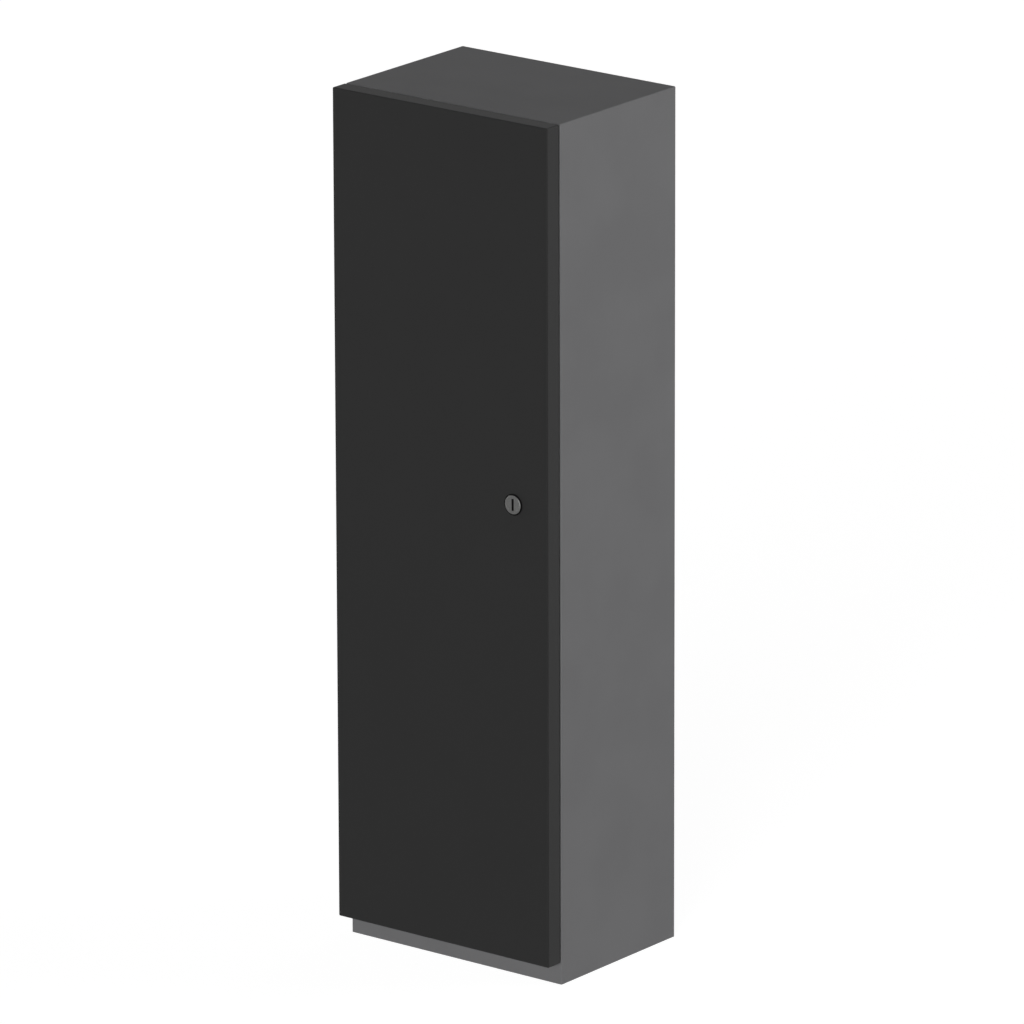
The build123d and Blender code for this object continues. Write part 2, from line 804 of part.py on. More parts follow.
with BuildPart() as gearbox_screws:
    with BuildSketch(facing(case_front)):
        with Locations((case_x, gear_z)):
            with GridLocations(screw_pitch_x, screw_pitch_z, 2, 2):
                Circle(cover_screw_head_r)
                RegularPolygon(cover_screw_r, 6, mode=Mode.SUBTRACT)
    extrude(amount=cover_screw_head)
gearbox_screws.part.label = "gearbox_screws"
export_step(gearbox_screws.part, "parts/gearbox_screws.step")

# Output shaft, worm wheel and crank arm: they turn together, as far as the boom crank does
crank_hub_r = 22.0
crank_eye = turned(rod_arm, -180 + stroke / 2, gear_centre)

with BuildPart() as output_shaft:
    with BuildSketch(facing(cavity_back)):
        with Locations(gear_centre):
            Circle(output_r)
    extrude(amount=cavity_back - lever_front)
output_shaft.part.label = "output_shaft"
export_step(output_shaft.part, "parts/output_shaft.step")

wheel_r = worm_offset - worm_r - free_gap
tooth_width = pi * wheel_r / wheel_teeth

with BuildPart() as worm_wheel:
    with BuildSketch(facing(gear_y + wheel_thick / 2)):
        with Locations(gear_centre):
            Circle(wheel_r - tooth_depth)
            with PolarLocations(wheel_r - tooth_depth, wheel_teeth):
                Rectangle(2 * tooth_depth - running, tooth_width)
    extrude(amount=wheel_thick)
    with BuildSketch(facing(gear_y + wheel_hub / 2)):
        with Locations(gear_centre):
            Circle(wheel_hub_r)
    extrude(amount=wheel_hub)
    with BuildSketch(facing(gear_y + wheel_hub / 2)):
        with Locations(gear_centre):
            Circle(output_r + running)
    extrude(amount=wheel_hub, mode=Mode.SUBTRACT)
worm_wheel.part.label = "worm_wheel"
export_step(worm_wheel.part, "parts/worm_wheel.step")

with BuildPart() as crank_arm:
    with BuildSketch(facing(lever_back)):
        with Locations(gear_centre):
            Circle(crank_hub_r)
        with Locations(crank_eye):
            Circle(rod_eye_r)
        make_hull()
    extrude(amount=lever_thick)
    for centre, hole_r in ((gear_centre, output_r), (crank_eye, rod_pin_r)):
        with BuildSketch(facing(lever_back)):
            with Locations(centre):
                Circle(hole_r + running)
        extrude(amount=lever_thick, mode=Mode.SUBTRACT)
crank_arm.part.label = "crank_arm"
export_step(crank_arm.part, "parts/crank_arm.step")

# Drive rod: a threaded rod between two rod ends. It stays parallel to itself as the two cranks turn.
rod_gap = 4.5
rod_end_thick = 12.0
rod_end_r = 13.0
rod_shank_r = 9.0
rod_shank = 34.0
rod_r = 6.0
rod_nut_r = 10.0
rod_nut = 6.0
pin_head_r = 9.0
pin_head = 2.5
rod_back = lever_front - rod_gap
rod_front = rod_back - rod_end_thick
rod_mid = (rod_front + rod_back) / 2

for node, eye in (("upper_rod_pin", rod_eye), ("lower_rod_pin", crank_eye)):
    with BuildPart() as rod_pin:
        with BuildSketch(facing(lever_back)):
            with Locations(eye):
                Circle(rod_pin_r)
        extrude(amount=lever_back - rod_front + free_gap)
        with BuildSketch(facing(rod_front - free_gap)):
            with Locations(eye):
                Circle(pin_head_r)
        extrude(amount=pin_head)
    rod_pin.part.label = node
    export_step(rod_pin.part, f"parts/{node}.step")

rod_run = Vector(rod_eye[0] - crank_eye[0], 0, rod_eye[1] - crank_eye[1])
rod_length = rod_run.length
rod_way = rod_run.normalized()


def along_rod(eye, distance, way):
    """A drawing plane square to the rod, this far from an eye."""
    start = Vector(eye[0], rod_mid, eye[1]) + way * distance
    return Plane(origin=start, x_dir=(0, 1, 0), z_dir=way)


for node, eye, way in (("lower_rod_end", crank_eye, rod_way), ("upper_rod_end", rod_eye, rod_way * -1)):
    with BuildPart() as rod_end:
        with BuildSketch(facing(rod_back)):
            with Locations(eye):
                Circle(rod_end_r)
        extrude(amount=rod_end_thick)
        with BuildSketch(along_rod(eye, 0, way)):
            Circle(rod_shank_r)
            Rectangle(rod_end_thick, 2 * rod_shank_r, mode=Mode.INTERSECT)
        extrude(amount=rod_shank)
        with BuildSketch(facing(rod_back)):
            with Locations(eye):
                Circle(rod_pin_r + running)
        extrude(amount=rod_end_thick, mode=Mode.SUBTRACT)
    rod_end.part.label = node
    export_step(rod_end.part, f"parts/{node}.step")

with BuildPart() as drive_rod:
    with BuildSketch(along_rod(crank_eye, rod_shank, rod_way)):
        Circle(rod_r)
    extrude(amount=rod_length - 2 * rod_shank)
drive_rod.part.label = "drive_rod"
export_step(drive_rod.part, "parts/drive_rod.step")

with BuildPart() as rod_nuts:
    for eye, way in ((crank_eye, rod_way), (rod_eye, rod_way * -1)):
        with BuildSketch(along_rod(eye, rod_shank, way)):
            RegularPolygon(rod_nut_r, 6)
            Circle(rod_r + running, mode=Mode.SUBTRACT)
        extrude(amount=rod_nut)
rod_nuts.part.label = "rod_nuts"
export_step(rod_nuts.part, "parts/rod_nuts.step")

# Motor under the gearbox, with the worm on its shaft and a hand wheel for release by hand
motor_r = 37.0
fin_depth = 4.0
fin_thick = 2.5
fins = 24
motor_bore_r = 8.0
motor_flange = 8.0
motor_length = 132.0
motor_cap_length = 18.0
hand_wheel_r = 30.0
hand_wheel_thick = 12.0
hand_wheel_gap = 6.0
hand_grip_r = 5.0
hand_grips = 8

motor_top = gear_z - case_half
motor_low = motor_top - motor_flange - motor_length
cap_low = motor_low - motor_cap_length
hand_wheel_top = cap_low - hand_wheel_gap
hand_wheel_low = hand_wheel_top - hand_wheel_thick

with BuildPart() as motor_body:
    with BuildSketch(Plane.XY.offset(motor_low)):
        with Locations((worm_x, gear_y)):
            Circle(motor_r - fin_depth)
            with PolarLocations(motor_r - fin_depth, fins):
                Rectangle(2 * fin_depth - running, fin_thick)
    extrude(amount=motor_length)
    with BuildSketch(Plane.XY.offset(motor_top - motor_flange)):
        with Locations((worm_x, gear_y)):
            Circle(motor_r)
    extrude(amount=motor_flange)
    with BuildSketch(Plane.XY.offset(motor_low)):
        with Locations((worm_x, gear_y)):
            Circle(motor_bore_r)
    extrude(amount=motor_flange + motor_length, mode=Mode.SUBTRACT)
motor_body.part.label = "motor_body"
export_step(motor_body.part, "parts/motor_body.step")

with BuildPart() as motor_cap:
    with BuildSketch(Plane.XY.offset(cap_low)):
        with Locations((worm_x, gear_y)):
            Circle(motor_r)
    extrude(amount=motor_cap_length)
    fillet(motor_cap.faces().sort_by(Axis.Z)[0].edges(), radius=fin_depth)
    with BuildSketch(Plane.XY.offset(cap_low)):
        with Locations((worm_x, gear_y)):
            Circle(worm_shaft_r + running)
    extrude(amount=motor_cap_length, mode=Mode.SUBTRACT)
motor_cap.part.label = "motor_cap"
export_step(motor_cap.part, "parts/motor_cap.step")

with BuildPart() as worm_shaft:
    with BuildSketch(Plane.XY.offset(hand_wheel_low)):
        with Locations((worm_x, gear_y)):
            Circle(worm_shaft_r)
    extrude(amount=gear_z + case_half - hand_wheel_low)
    for thread in range(worm_threads):
        thread_z = gear_z + (thread - worm_threads / 2) * worm_step
        with BuildSketch(Plane.XY.offset(thread_z)):
            with Locations((worm_x, gear_y)):
                Circle(worm_r)
        extrude(amount=worm_step - worm_groove)
worm_shaft.part.label = "worm_shaft"
export_step(worm_shaft.part, "parts/worm_shaft.step")

with BuildPart() as hand_wheel:
    with BuildSketch(Plane.XY.offset(hand_wheel_low)):
        with Locations((worm_x, gear_y)):
            Circle(hand_wheel_r)
            with PolarLocations(hand_wheel_r, hand_grips):
                Circle(hand_grip_r, mode=Mode.SUBTRACT)
            Circle(worm_shaft_r + running, mode=Mode.SUBTRACT)
    extrude(amount=hand_wheel_thick)
hand_wheel.part.label = "hand_wheel"
export_step(hand_wheel.part, "parts/hand_wheel.step")

# Balance: two extension springs side by side, from the boom crank down to an adjustable yoke
anchor_x = spring_arm
anchor_height_share = 0.43
spring_offset = 24.0
spring_wire_r = 2.5
spring_mean_r = 17.0
spring_turns = 44
spring_shank = 45.0
pin_grip = 35.0
pin_collar_r = 11.0
pin_collar = 3.0
yoke_half_width = 14.0
yoke_half_height = 15.0
yoke_thick = 16.0
tension_r = 8.0
tension_length = 100.0
tension_nut_r = 13.0
tension_nut = 10.0
shelf_below = 50.0
shelf_thick = 8.0
shelf_half = 36.0
shelf_depth = 130.0

anchor_z = anchor_height_share * height
spring_low = anchor_z + spring_shank
spring_high = shaft_z - spring_shank
hook_r = spring_pin_r + spring_wire_r + free_gap
shelf_top = anchor_z - shelf_below
shelf_low = shelf_top - shelf_thick

for node, centre in (("spring_pin", spring_eye), ("anchor_pin", (anchor_x, anchor_z))):
    with BuildPart() as cross_pin:
        with BuildSketch(facing(lever_mid + pin_grip)):
            with Locations(centre):
                Circle(spring_pin_r)
        extrude(amount=2 * pin_grip)
        for collar_back in (lever_mid + pin_grip, lever_mid - pin_grip + pin_collar):
            with BuildSketch(facing(collar_back)):
                with Locations(centre):
                    Circle(pin_collar_r)
            extrude(amount=pin_collar)
    cross_pin.part.label = node
    export_step(cross_pin.part, f"parts/{node}.step")


def biarc(start, start_way, end, end_way):
    """Two arcs that join two points, tangent to each other and to the way the wire runs at both ends."""
    chord = end - start
    sum_way = start_way + end_way
    turn = 2 * (1 - start_way.dot(end_way))
    lean = chord.dot(sum_way)
    if turn < 1e-9:
        reach = chord.dot(chord) / (2 * lean)
    else:
        reach = (sqrt(lean * lean + turn * chord.dot(chord)) - lean) / turn
    joint_way = (end - end_way * reach) - (start + start_way * reach)
    joint = start + start_way * reach + joint_way * 0.5
    TangentArc(start, joint, tangent=start_way)
    TangentArc(joint, end, tangent=joint_way.normalized())


def hook_points(centre_z, up):
    """The stem's end and the loop round a pin: points with the way that the wire runs there."""
    tail = radians(60)
    return [
        (Vector(0, 0, centre_z - up * 2 * hook_r), Vector(0, 0, up)),
        (Vector(hook_r, 0, centre_z), Vector(0, 0, up)),
        (Vector(0, 0, centre_z + up * hook_r), Vector(-1, 0, 0)),
        (Vector(-hook_r, 0, centre_z), Vector(0, 0, -up)),
        (
            Vector(-hook_r * cos(tail), 0, centre_z - up * hook_r * sin(tail)),
            Vector(sin(tail), 0, -up * cos(tail)),
        ),
    ]


spring_pitch = (spring_high - spring_low) / spring_turns
turn_length = hypot(2 * pi * spring_mean_r, spring_pitch)
rise = spring_pitch / turn_length
level = 2 * pi * spring_mean_r / turn_length


def coil_point(half_turns):
    """A point on the coil after this many half turns, with the way that the wire runs there."""
    angle = pi * half_turns
    height_here = spring_low + spring_pitch * half_turns / 2
    point = Vector(spring_mean_r * cos(angle), spring_mean_r * sin(angle), height_here)
    return point, Vector(-sin(angle) * level, cos(angle) * level, rise)


stem_low = (Vector(0, 0, spring_low - spring_mean_r), Vector(0, 0, 1))
stem_high = (Vector(0, 0, spring_high + spring_mean_r), Vector(0, 0, 1))
low_hook = [(point, way * -1) for point, way in reversed(hook_points(anchor_z, -1))]
high_hook = hook_points(shaft_z, 1)
stations = low_hook + [stem_low]
stations += [coil_point(step) for step in range(2 * spring_turns + 1)]
stations += [stem_high] + high_hook


def least_gap(path, length, wire_r, turn):
    """The smallest clear gap between stretches of a wire that are half a turn or more apart along it."""
    step = wire_r
    count = int(length / step)
    points = [path.position_at(index / count) for index in range(count + 1)]
    near = int(turn / 2 / step)
    far = int(turn * 1.5 / step)
    gaps = [
        (points[other] - points[index]).length
        for index in range(count + 1)
        for other in range(index + near, min(index + far, count + 1))
    ]
    return min(gaps) - 2 * wire_r


for place, spring_y in (("front", lever_mid - spring_offset), ("rear", lever_mid + spring_offset)):
    axis = Vector(anchor_x, spring_y, 0)
    with BuildPart() as spring:
        with BuildLine() as wire:
            for (start, start_way), (end, end_way) in zip(stations, stations[1:]):
                if (end - start).cross(start_way).length < 1e-6:
                    Line(axis + start, axis + end)
                else:
                    biarc(axis + start, start_way, axis + end, end_way)
        with BuildSketch(Plane(origin=axis + stations[0][0], z_dir=stations[0][1])):
            Circle(spring_wire_r)
        sweep(path=wire.wires()[0])
    spring.part.label = f"{place}_spring"
    export_step(spring.part, f"parts/{place}_spring.step")
    wire_length = sum(edge.length for edge in wire.edges())
    expected = wire_length * pi * spring_wire_r**2
    print(place, "spring: volume", round(spring.part.volume), "mm3, section times length", round(expected))
    gap = least_gap(wire.wires()[0], wire_length, spring_wire_r, turn_length)
    print(place, "spring: least gap to itself", round(gap, 2), "mm")

# Spring anchor: a yoke between the springs on a threaded rod, held by nuts on a shelf from the back wall
with BuildPart() as anchor_yoke:
    with BuildSketch(facing(lever_mid + yoke_thick / 2)):
        with Locations((anchor_x, anchor_z)):
            Rectangle(2 * yoke_half_width, 2 * yoke_half_height)
            Circle(spring_pin_r + running, mode=Mode.SUBTRACT)
    extrude(amount=yoke_thick)
    fillet(anchor_yoke.edges().filter_by(Axis.Y), radius=yoke_half_width / 4)
    with BuildSketch(Plane.XY.offset(anchor_z - yoke_half_height)):
        with Locations((anchor_x, lever_mid)):
            Circle(tension_r)
    extrude(amount=-tension_length)
anchor_yoke.part.label = "anchor_yoke"
export_step(anchor_yoke.part, "parts/anchor_yoke.step")

with BuildPart() as tension_nuts:
    for nut_low in (shelf_top, shelf_low - tension_nut):
        with BuildSketch(Plane.XY.offset(nut_low)):
            with Locations((anchor_x, lever_mid)):
                RegularPolygon(tension_nut_r, 6)
                Circle(tension_r + running, mode=Mode.SUBTRACT)
        extrude(amount=tension_nut)
tension_nuts.part.label = "tension_nuts"
export_step(tension_nuts.part, "parts/tension_nuts.step")

shelf_front = inner_back - shelf_depth
shelf_drop = 60.0
shelf_gusset = 6.0

with BuildPart() as spring_shelf:
    with BuildSketch(Plane.XY.offset(shelf_low)):
        with Locations((anchor_x, inner_back)):
            Rectangle(2 * shelf_half, shelf_depth, align=(Align.CENTER, Align.MAX))
        with Locations((anchor_x, lever_mid)):
            Circle(tension_r + running, mode=Mode.SUBTRACT)
    extrude(amount=shelf_thick)
    for side in (-1, 1):
        gusset_x = anchor_x + side * (shelf_half - shelf_gusset / 2)
        with BuildSketch(Plane.YZ.offset(gusset_x - shelf_gusset / 2)):
            with BuildLine():
                Polyline(
                    (inner_back, shelf_low),
                    (shelf_front, shelf_low),
                    (inner_back, shelf_low - shelf_drop),
                    close=True,
                )
            make_face()
        extrude(amount=shelf_gusset)
spring_shelf.part.label = "spring_shelf"
export_step(spring_shelf.part, "parts/spring_shelf.step")

# Controller: a box on the back wall, with a lid and two push buttons
box_side_gap = 28.0
box_supply_gap = 6.0
box_below = 32.0
box_height = 140.0
box_depth = 46.0
box_wall = 2.5
box_corner = 6.0
lid_thick = 6.0
button_r = 7.0
button_proud = 5.0
button_spacing = 28.0
button_drop = 44.0
button_collar = 2.0
supply_side_gap = 32.0
supply_width = 82.0

supply_left = inner_side - supply_side_gap - supply_width
box_left = -inner_side + box_side_gap
box_width = supply_left - box_supply_gap - box_left
box_x = box_left + box_width / 2
box_low = hand_wheel_low - box_below - box_height
box_z = box_low + box_height / 2
box_front = inner_back - box_depth
button_x = (box_x - button_spacing / 2, box_x + button_spacing / 2)
button_z = box_z - button_drop

with BuildPart() as controller_case:
    with BuildSketch(facing(inner_back)):
        with Locations((box_x, box_z)):
            RectangleRounded(box_width, box_height, box_corner)
    extrude(amount=box_depth)
    with BuildSketch(facing(inner_back - box_wall)):
        with Locations((box_x, box_z)):
            RectangleRounded(box_width - 2 * box_wall, box_height - 2 * box_wall, box_corner - box_wall)
    extrude(amount=box_depth, mode=Mode.SUBTRACT)
controller_case.part.label = "controller_case"
export_step(controller_case.part, "parts/controller_case.step")

with BuildPart() as controller_lid:
    with BuildSketch(facing(box_front)):
        with Locations((box_x, box_z)):
            RectangleRounded(box_width, box_height, box_corner)
    extrude(amount=lid_thick)
    fillet(controller_lid.faces().sort_by(Axis.Y)[0].edges(), radius=box_wall)
    with BuildSketch(facing(box_front)):
        for place_x in button_x:
            with Locations((place_x, button_z)):
                Circle(button_r + free_gap)
    extrude(amount=lid_thick, mode=Mode.SUBTRACT)
controller_lid.part.label = "controller_lid"
export_step(controller_lid.part, "parts/controller_lid.step")

for node, place_x in zip(("raise_button", "lower_button"), button_x):
    with BuildPart() as push_button:
        with BuildSketch(facing(box_front + button_collar)):
            with Locations((place_x, button_z)):
                Circle(button_r + button_collar)
        extrude(amount=button_collar)
        with BuildSketch(facing(box_front + button_collar)):
            with Locations((place_x, button_z)):
                Circle(button_r)
        extrude(amount=button_collar + lid_thick + button_proud)
        fillet(push_button.faces().sort_by(Axis.Y)[0].edges(), radius=button_collar / 2)
    push_button.part.label = node
    export_step(push_button.part, f"parts/{node}.step")

# Power supply beneath the spring shelf
supply_below = 10.0
supply_height = 98.0
supply_depth = 38.0
supply_fold = 2.0
supply_slots = 6
supply_slot_width = 3.0
supply_slot_length = 60.0
supply_slot_spacing = 10.0

supply_low = shelf_low - shelf_drop - supply_below - supply_height

with BuildPart() as power_supply:
    with BuildSketch(facing(inner_back)):
        with Locations((supply_left, supply_low)):
            Rectangle(supply_width, supply_height, align=(Align.MIN, Align.MIN))
    extrude(amount=supply_depth)
    fillet(power_supply.edges().filter_by(Axis.Y), radius=supply_fold)
    with BuildSketch(facing(inner_back - supply_depth)):
        with Locations((supply_left + supply_width / 2, supply_low + supply_height / 2)):
            with GridLocations(supply_slot_spacing, supply_slot_spacing, supply_slots, 1):
                SlotOverall(supply_slot_length, supply_slot_width, rotation=90)
    extrude(amount=-supply_fold, mode=Mode.SUBTRACT)
power_supply.part.label = "power_supply"
export_step(power_supply.part, "parts/power_supply.step")

# Mounting rail with a circuit breaker and a row of terminals
rail_side_gap = 4.0
rail_length = 112.0
rail_height_share = 0.082
rail_end = 5.0
rail_height = 35.0
rail_depth = 7.5
rail_sheet = 1.0
rail_web = 27.0
breaker_width = 36.0
breaker_height = 84.0
breaker_depth = 44.0
breaker_nose = 18.0
breaker_nose_height = 45.0
toggle_width = 20.0
toggle_r = 6.0
toggle_reach = 15.0
toggle_lean = 25.0
toggle_tip = 2.5
terminal_width = 6.2
terminal_count = 10
terminal_height = 46.0
terminal_depth = 36.0
terminal_hole_r = 1.8
terminal_gap = 0.2
terminal_breaker_gap = 4.0

rail_z = rail_height_share * height
rail_left = inner_side - rail_side_gap - rail_length
breaker_left = rail_left + rail_end
terminal_left = breaker_left + breaker_width + terminal_breaker_gap
rail_front = inner_back - rail_depth
breaker_back = rail_front
nose_back = breaker_back - breaker_depth
nose_front = nose_back - breaker_nose
breaker_x = breaker_left + breaker_width / 2

with BuildPart() as mounting_rail:
    with BuildSketch(Plane.YZ.offset(rail_left)):
        with BuildLine():
            Polyline(
                (rail_front, rail_z + rail_height / 2),
                (rail_front + rail_sheet, rail_z + rail_height / 2),
                (rail_front + rail_sheet, rail_z + rail_web / 2),
                (inner_back, rail_z + rail_web / 2),
                (inner_back, rail_z - rail_web / 2),
                (rail_front + rail_sheet, rail_z - rail_web / 2),
                (rail_front + rail_sheet, rail_z - rail_height / 2),
                (rail_front, rail_z - rail_height / 2),
                (rail_front, rail_z - rail_web / 2 + rail_sheet),
                (inner_back - rail_sheet, rail_z - rail_web / 2 + rail_sheet),
                (inner_back - rail_sheet, rail_z + rail_web / 2 - rail_sheet),
                (rail_front, rail_z + rail_web / 2 - rail_sheet),
                close=True,
            )
        make_face()
    extrude(amount=rail_length)
mounting_rail.part.label = "mounting_rail"
export_step(mounting_rail.part, "parts/mounting_rail.step")

with BuildPart() as circuit_breaker:
    with BuildSketch(facing(breaker_back)):
        with Locations((breaker_x, rail_z)):
            Rectangle(breaker_width, breaker_height)
    extrude(amount=breaker_depth)
    with BuildSketch(facing(nose_back)):
        with Locations((breaker_x, rail_z)):
            Rectangle(breaker_width, breaker_nose_height)
    extrude(amount=breaker_nose)
    with BuildSketch(facing(nose_front)):
        with Locations((breaker_x, rail_z)):
            Rectangle(toggle_width + 2 * free_gap, 2 * toggle_reach + 2 * toggle_r)
    extrude(amount=-(toggle_r + free_gap), mode=Mode.SUBTRACT)
circuit_breaker.part.label = "circuit_breaker"
export_step(circuit_breaker.part, "parts/circuit_breaker.step")

toggle_end = (
    nose_front - toggle_reach * cos(radians(toggle_lean)),
    rail_z + toggle_reach * sin(radians(toggle_lean)),
)

with BuildPart() as breaker_toggle:
    with BuildSketch(Plane.YZ.offset(breaker_x - toggle_width / 2)):
        with Locations((nose_front, rail_z)):
            Circle(toggle_r)
        with Locations(toggle_end):
            Circle(toggle_tip)
        make_hull()
    extrude(amount=toggle_width)
breaker_toggle.part.label = "breaker_toggle"
export_step(breaker_toggle.part, "parts/breaker_toggle.step")

with BuildPart() as terminal_blocks:
    for number in range(terminal_count):
        block_left = terminal_left + number * (terminal_width + terminal_gap)
        with BuildSketch(Plane.YZ.offset(block_left)):
            with BuildLine():
                Polyline(
                    (rail_front, rail_z - terminal_height / 2),
                    (rail_front - terminal_depth / 2, rail_z - terminal_height / 2),
                    (rail_front - terminal_depth, rail_z - terminal_height / 4),
                    (rail_front - terminal_depth, rail_z + terminal_height / 4),
                    (rail_front - terminal_depth / 2, rail_z + terminal_height / 2),
                    (rail_front, rail_z + terminal_height / 2),
                    close=True,
                )
            make_face()
        extrude(amount=terminal_width)
        with BuildSketch(facing(rail_front - terminal_depth)):
            with Locations((block_left + terminal_width / 2, rail_z)):
                Circle(terminal_hole_r)
        extrude(amount=-terminal_depth / 2, mode=Mode.SUBTRACT)
terminal_blocks.part.label = "terminal_blocks"
export_step(terminal_blocks.part, "parts/terminal_blocks.step")
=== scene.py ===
# %% [markdown]
# # A boom barrier's cabinet, dressed in Blender
# The frame holds every piece of the barrier at its true place and size. This lesson gives each of them the
# finish that the real one has, adds the small things that a maker would fit, and lights the whole like a
# catalogue picture. Nothing in the frame is moved or resized.

# %% Load the frame
from math import cos, pi, radians, sin

import bmesh
import bpy
from mathutils import Matrix, Vector


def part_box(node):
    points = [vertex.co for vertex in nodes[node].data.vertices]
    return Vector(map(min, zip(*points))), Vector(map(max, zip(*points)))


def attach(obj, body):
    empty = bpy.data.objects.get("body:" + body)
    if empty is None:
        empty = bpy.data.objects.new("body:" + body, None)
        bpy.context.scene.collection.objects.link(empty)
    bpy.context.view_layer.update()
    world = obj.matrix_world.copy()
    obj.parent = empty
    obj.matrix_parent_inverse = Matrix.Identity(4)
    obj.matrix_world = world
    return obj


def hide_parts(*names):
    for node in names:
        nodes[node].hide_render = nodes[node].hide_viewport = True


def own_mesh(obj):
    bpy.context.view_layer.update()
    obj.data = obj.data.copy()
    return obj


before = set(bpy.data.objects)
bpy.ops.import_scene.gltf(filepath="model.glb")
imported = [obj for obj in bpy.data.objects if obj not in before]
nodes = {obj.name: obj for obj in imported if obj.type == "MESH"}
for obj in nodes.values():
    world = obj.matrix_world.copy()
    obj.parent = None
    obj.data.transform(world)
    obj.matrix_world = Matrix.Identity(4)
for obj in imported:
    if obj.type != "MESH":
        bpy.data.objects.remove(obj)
scene = bpy.context.scene
MM = 0.001

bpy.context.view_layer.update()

# %% [markdown]
# ## The camera
# The picture was taken with a long lens from the right and a little above, so the upright edges stay almost
# parallel. A camera in Blender can be placed by its three axes: the way it looks, its right and its up. They
# come from two angles and a small roll, which were found by matching the cabinet's corners.

# %% Camera
AZIMUTH = radians(37.925)
ELEVATION = radians(16.760)
ROLL = radians(-0.169)
DISTANCE = 12.06503
ASIDE = 0.000035
ABOVE = 0.002533
FOCAL_PX = 10703.35
IMAGE_PX = 1024
SENSOR_MM = 36.0

cabinet_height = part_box("cabinet_shell")[1][2]
away = Vector((sin(AZIMUTH) * cos(ELEVATION), -cos(AZIMUTH) * cos(ELEVATION), sin(ELEVATION)))
level_right = Vector((cos(AZIMUTH), sin(AZIMUTH), 0))
level_up = away.cross(level_right)
right = level_right * cos(ROLL) + level_up * sin(ROLL)
up = level_up * cos(ROLL) - level_right * sin(ROLL)
camera_place = Vector((0, 0, cabinet_height / 2)) + away * DISTANCE + right * ASIDE + up * ABOVE

camera_data = bpy.data.cameras.new("camera")
camera_data.sensor_width = SENSOR_MM
camera_data.lens = FOCAL_PX / IMAGE_PX * SENSOR_MM
camera_data.clip_end = 2 * DISTANCE
camera = bpy.data.objects.new("camera", camera_data)
camera.matrix_world = Matrix.Translation(camera_place) @ Matrix((right, up, away)).transposed().to_4x4()
scene.collection.objects.link(camera)
scene.camera = camera
scene.view_settings.view_transform = "Standard"
print("lens", round(camera_data.lens, 1), "mm")

# %% [markdown]
# ## Colours and nodes
# A colour picked on a screen is sRGB, while Blender's shaders work in linear light. One function turns a hex
# value into linear numbers. Another adds a node with its settings and its links, so a material below reads as
# a short list of what its surface does.


# %% Colour and node helpers
def linear(hex_colour):
    """A hex colour, such as 4c4c4c, as linear red, green, blue and alpha."""
    values = [int(hex_colour[start:start + 2], 16) / 255 for start in (0, 2, 4)]
    return [v / 12.92 if v <= 0.04045 else ((v + 0.055) / 1.055) ** 2.4 for v in values] + [1]


def add(tree, kind, settings=None, links=None):
    """Adds a node. Settings are its properties or the values of its sockets, links its sockets' sources."""
    node = tree.nodes.new(kind)
    for name, value in (settings or {}).items():
        if name in node.inputs:
            node.inputs[name].default_value = value
        else:
            setattr(node, name, value)
    for name, source in (links or {}).items():
        tree.links.new(source, node.inputs[name])
    return node


print("a mid grey, 808080, is", round(linear("808080")[0], 3), "in linear light")

# %% [markdown]
# ## What the materials share
# Every finish below is one shader. Its shade and its relief follow a pattern, mostly noise, and on metals the
# gloss does too. A pattern's scale comes from a real size in millimetres: the frame is in metres, so a grain
# of 2 mm needs a scale of 1 / 0.002. Noise keeps near its middle value, so the two shades are mixed over the
# middle of its range.

# %% Material helpers
NOISE_SPAN = (0.3, 0.7)


def new_material(name, roughness, metallic=0.0, **sockets):
    """A material with one principled shader, whose plain values are set on its own sockets."""
    material = bpy.data.materials.new(name)
    material.use_nodes = True
    tree = material.node_tree
    tree.nodes.clear()
    shader = add(tree, "ShaderNodeBsdfPrincipled", {"Roughness": roughness, "Metallic": metallic, **sockets})
    add(tree, "ShaderNodeOutputMaterial", links={"Surface": shader.outputs["BSDF"]})
    return material, tree, shader


def noise(tree, grain_mm, detail=3.0):
    """Noise whose spots are this many millimetres across."""
    spot = add(tree, "ShaderNodeTexCoord")
    settings = {"Scale": 1 / (grain_mm * MM), "Detail": detail}
    pattern = add(tree, "ShaderNodeTexNoise", settings, {"Vector": spot.outputs["Object"]})
    return pattern.outputs["Fac"]


def shade_between(tree, shader, source, dark, light, span=NOISE_SPAN):
    """Mixes a surface's two shades where a pattern passes from the low to the high end of a span."""
    ramp = add(tree, "ShaderNodeValToRGB", links={"Fac": source})
    for stop, position, shade in zip(ramp.color_ramp.elements, span, (dark, light)):
        stop.position = position
        stop.color = linear(shade)
    tree.links.new(ramp.outputs["Color"], shader.inputs["Base Color"])


def range_of(tree, source, low, high):
    """A pattern's values, from 0 to 1, moved to a range."""
    spread = add(tree, "ShaderNodeMapRange", {"To Min": low, "To Max": high}, {"Value": source})
    return spread.outputs["Result"]


def vary_gloss(tree, shader, source, roughness, spread):
    """Lets the roughness swing this far either way with a pattern."""
    tree.links.new(range_of(tree, source, roughness - spread, roughness + spread), shader.inputs["Roughness"])


def raise_surface(tree, shader, source, height_mm):
    """Bumps a surface by this height where the pattern is 1."""
    bump = add(tree, "ShaderNodeBump", {"Distance": height_mm * MM}, {"Height": source})
    tree.links.new(bump.outputs["Normal"], shader.inputs["Normal"])


def dress(material, *names):
    """Gives CAD nodes one material."""
    for name in names:
        nodes[name].data.materials.clear()
        nodes[name].data.materials.append(material)
    print(material.name, "on", ", ".join(names))


# %% [markdown]
# ## Powder coat
# The cabinet is folded from sheet steel and powder coated: dry paint is blown on, clings by its charge and is
# baked until it flows. It ends up matt, with a fine orange peel. The peel's waves are about 2 mm across and
# only a few hundredths of a millimetre high, so they soften reflections more than they show. A second, broad
# noise is the slight cloudiness of a sprayed coat. The body is anthracite grey and the door black.

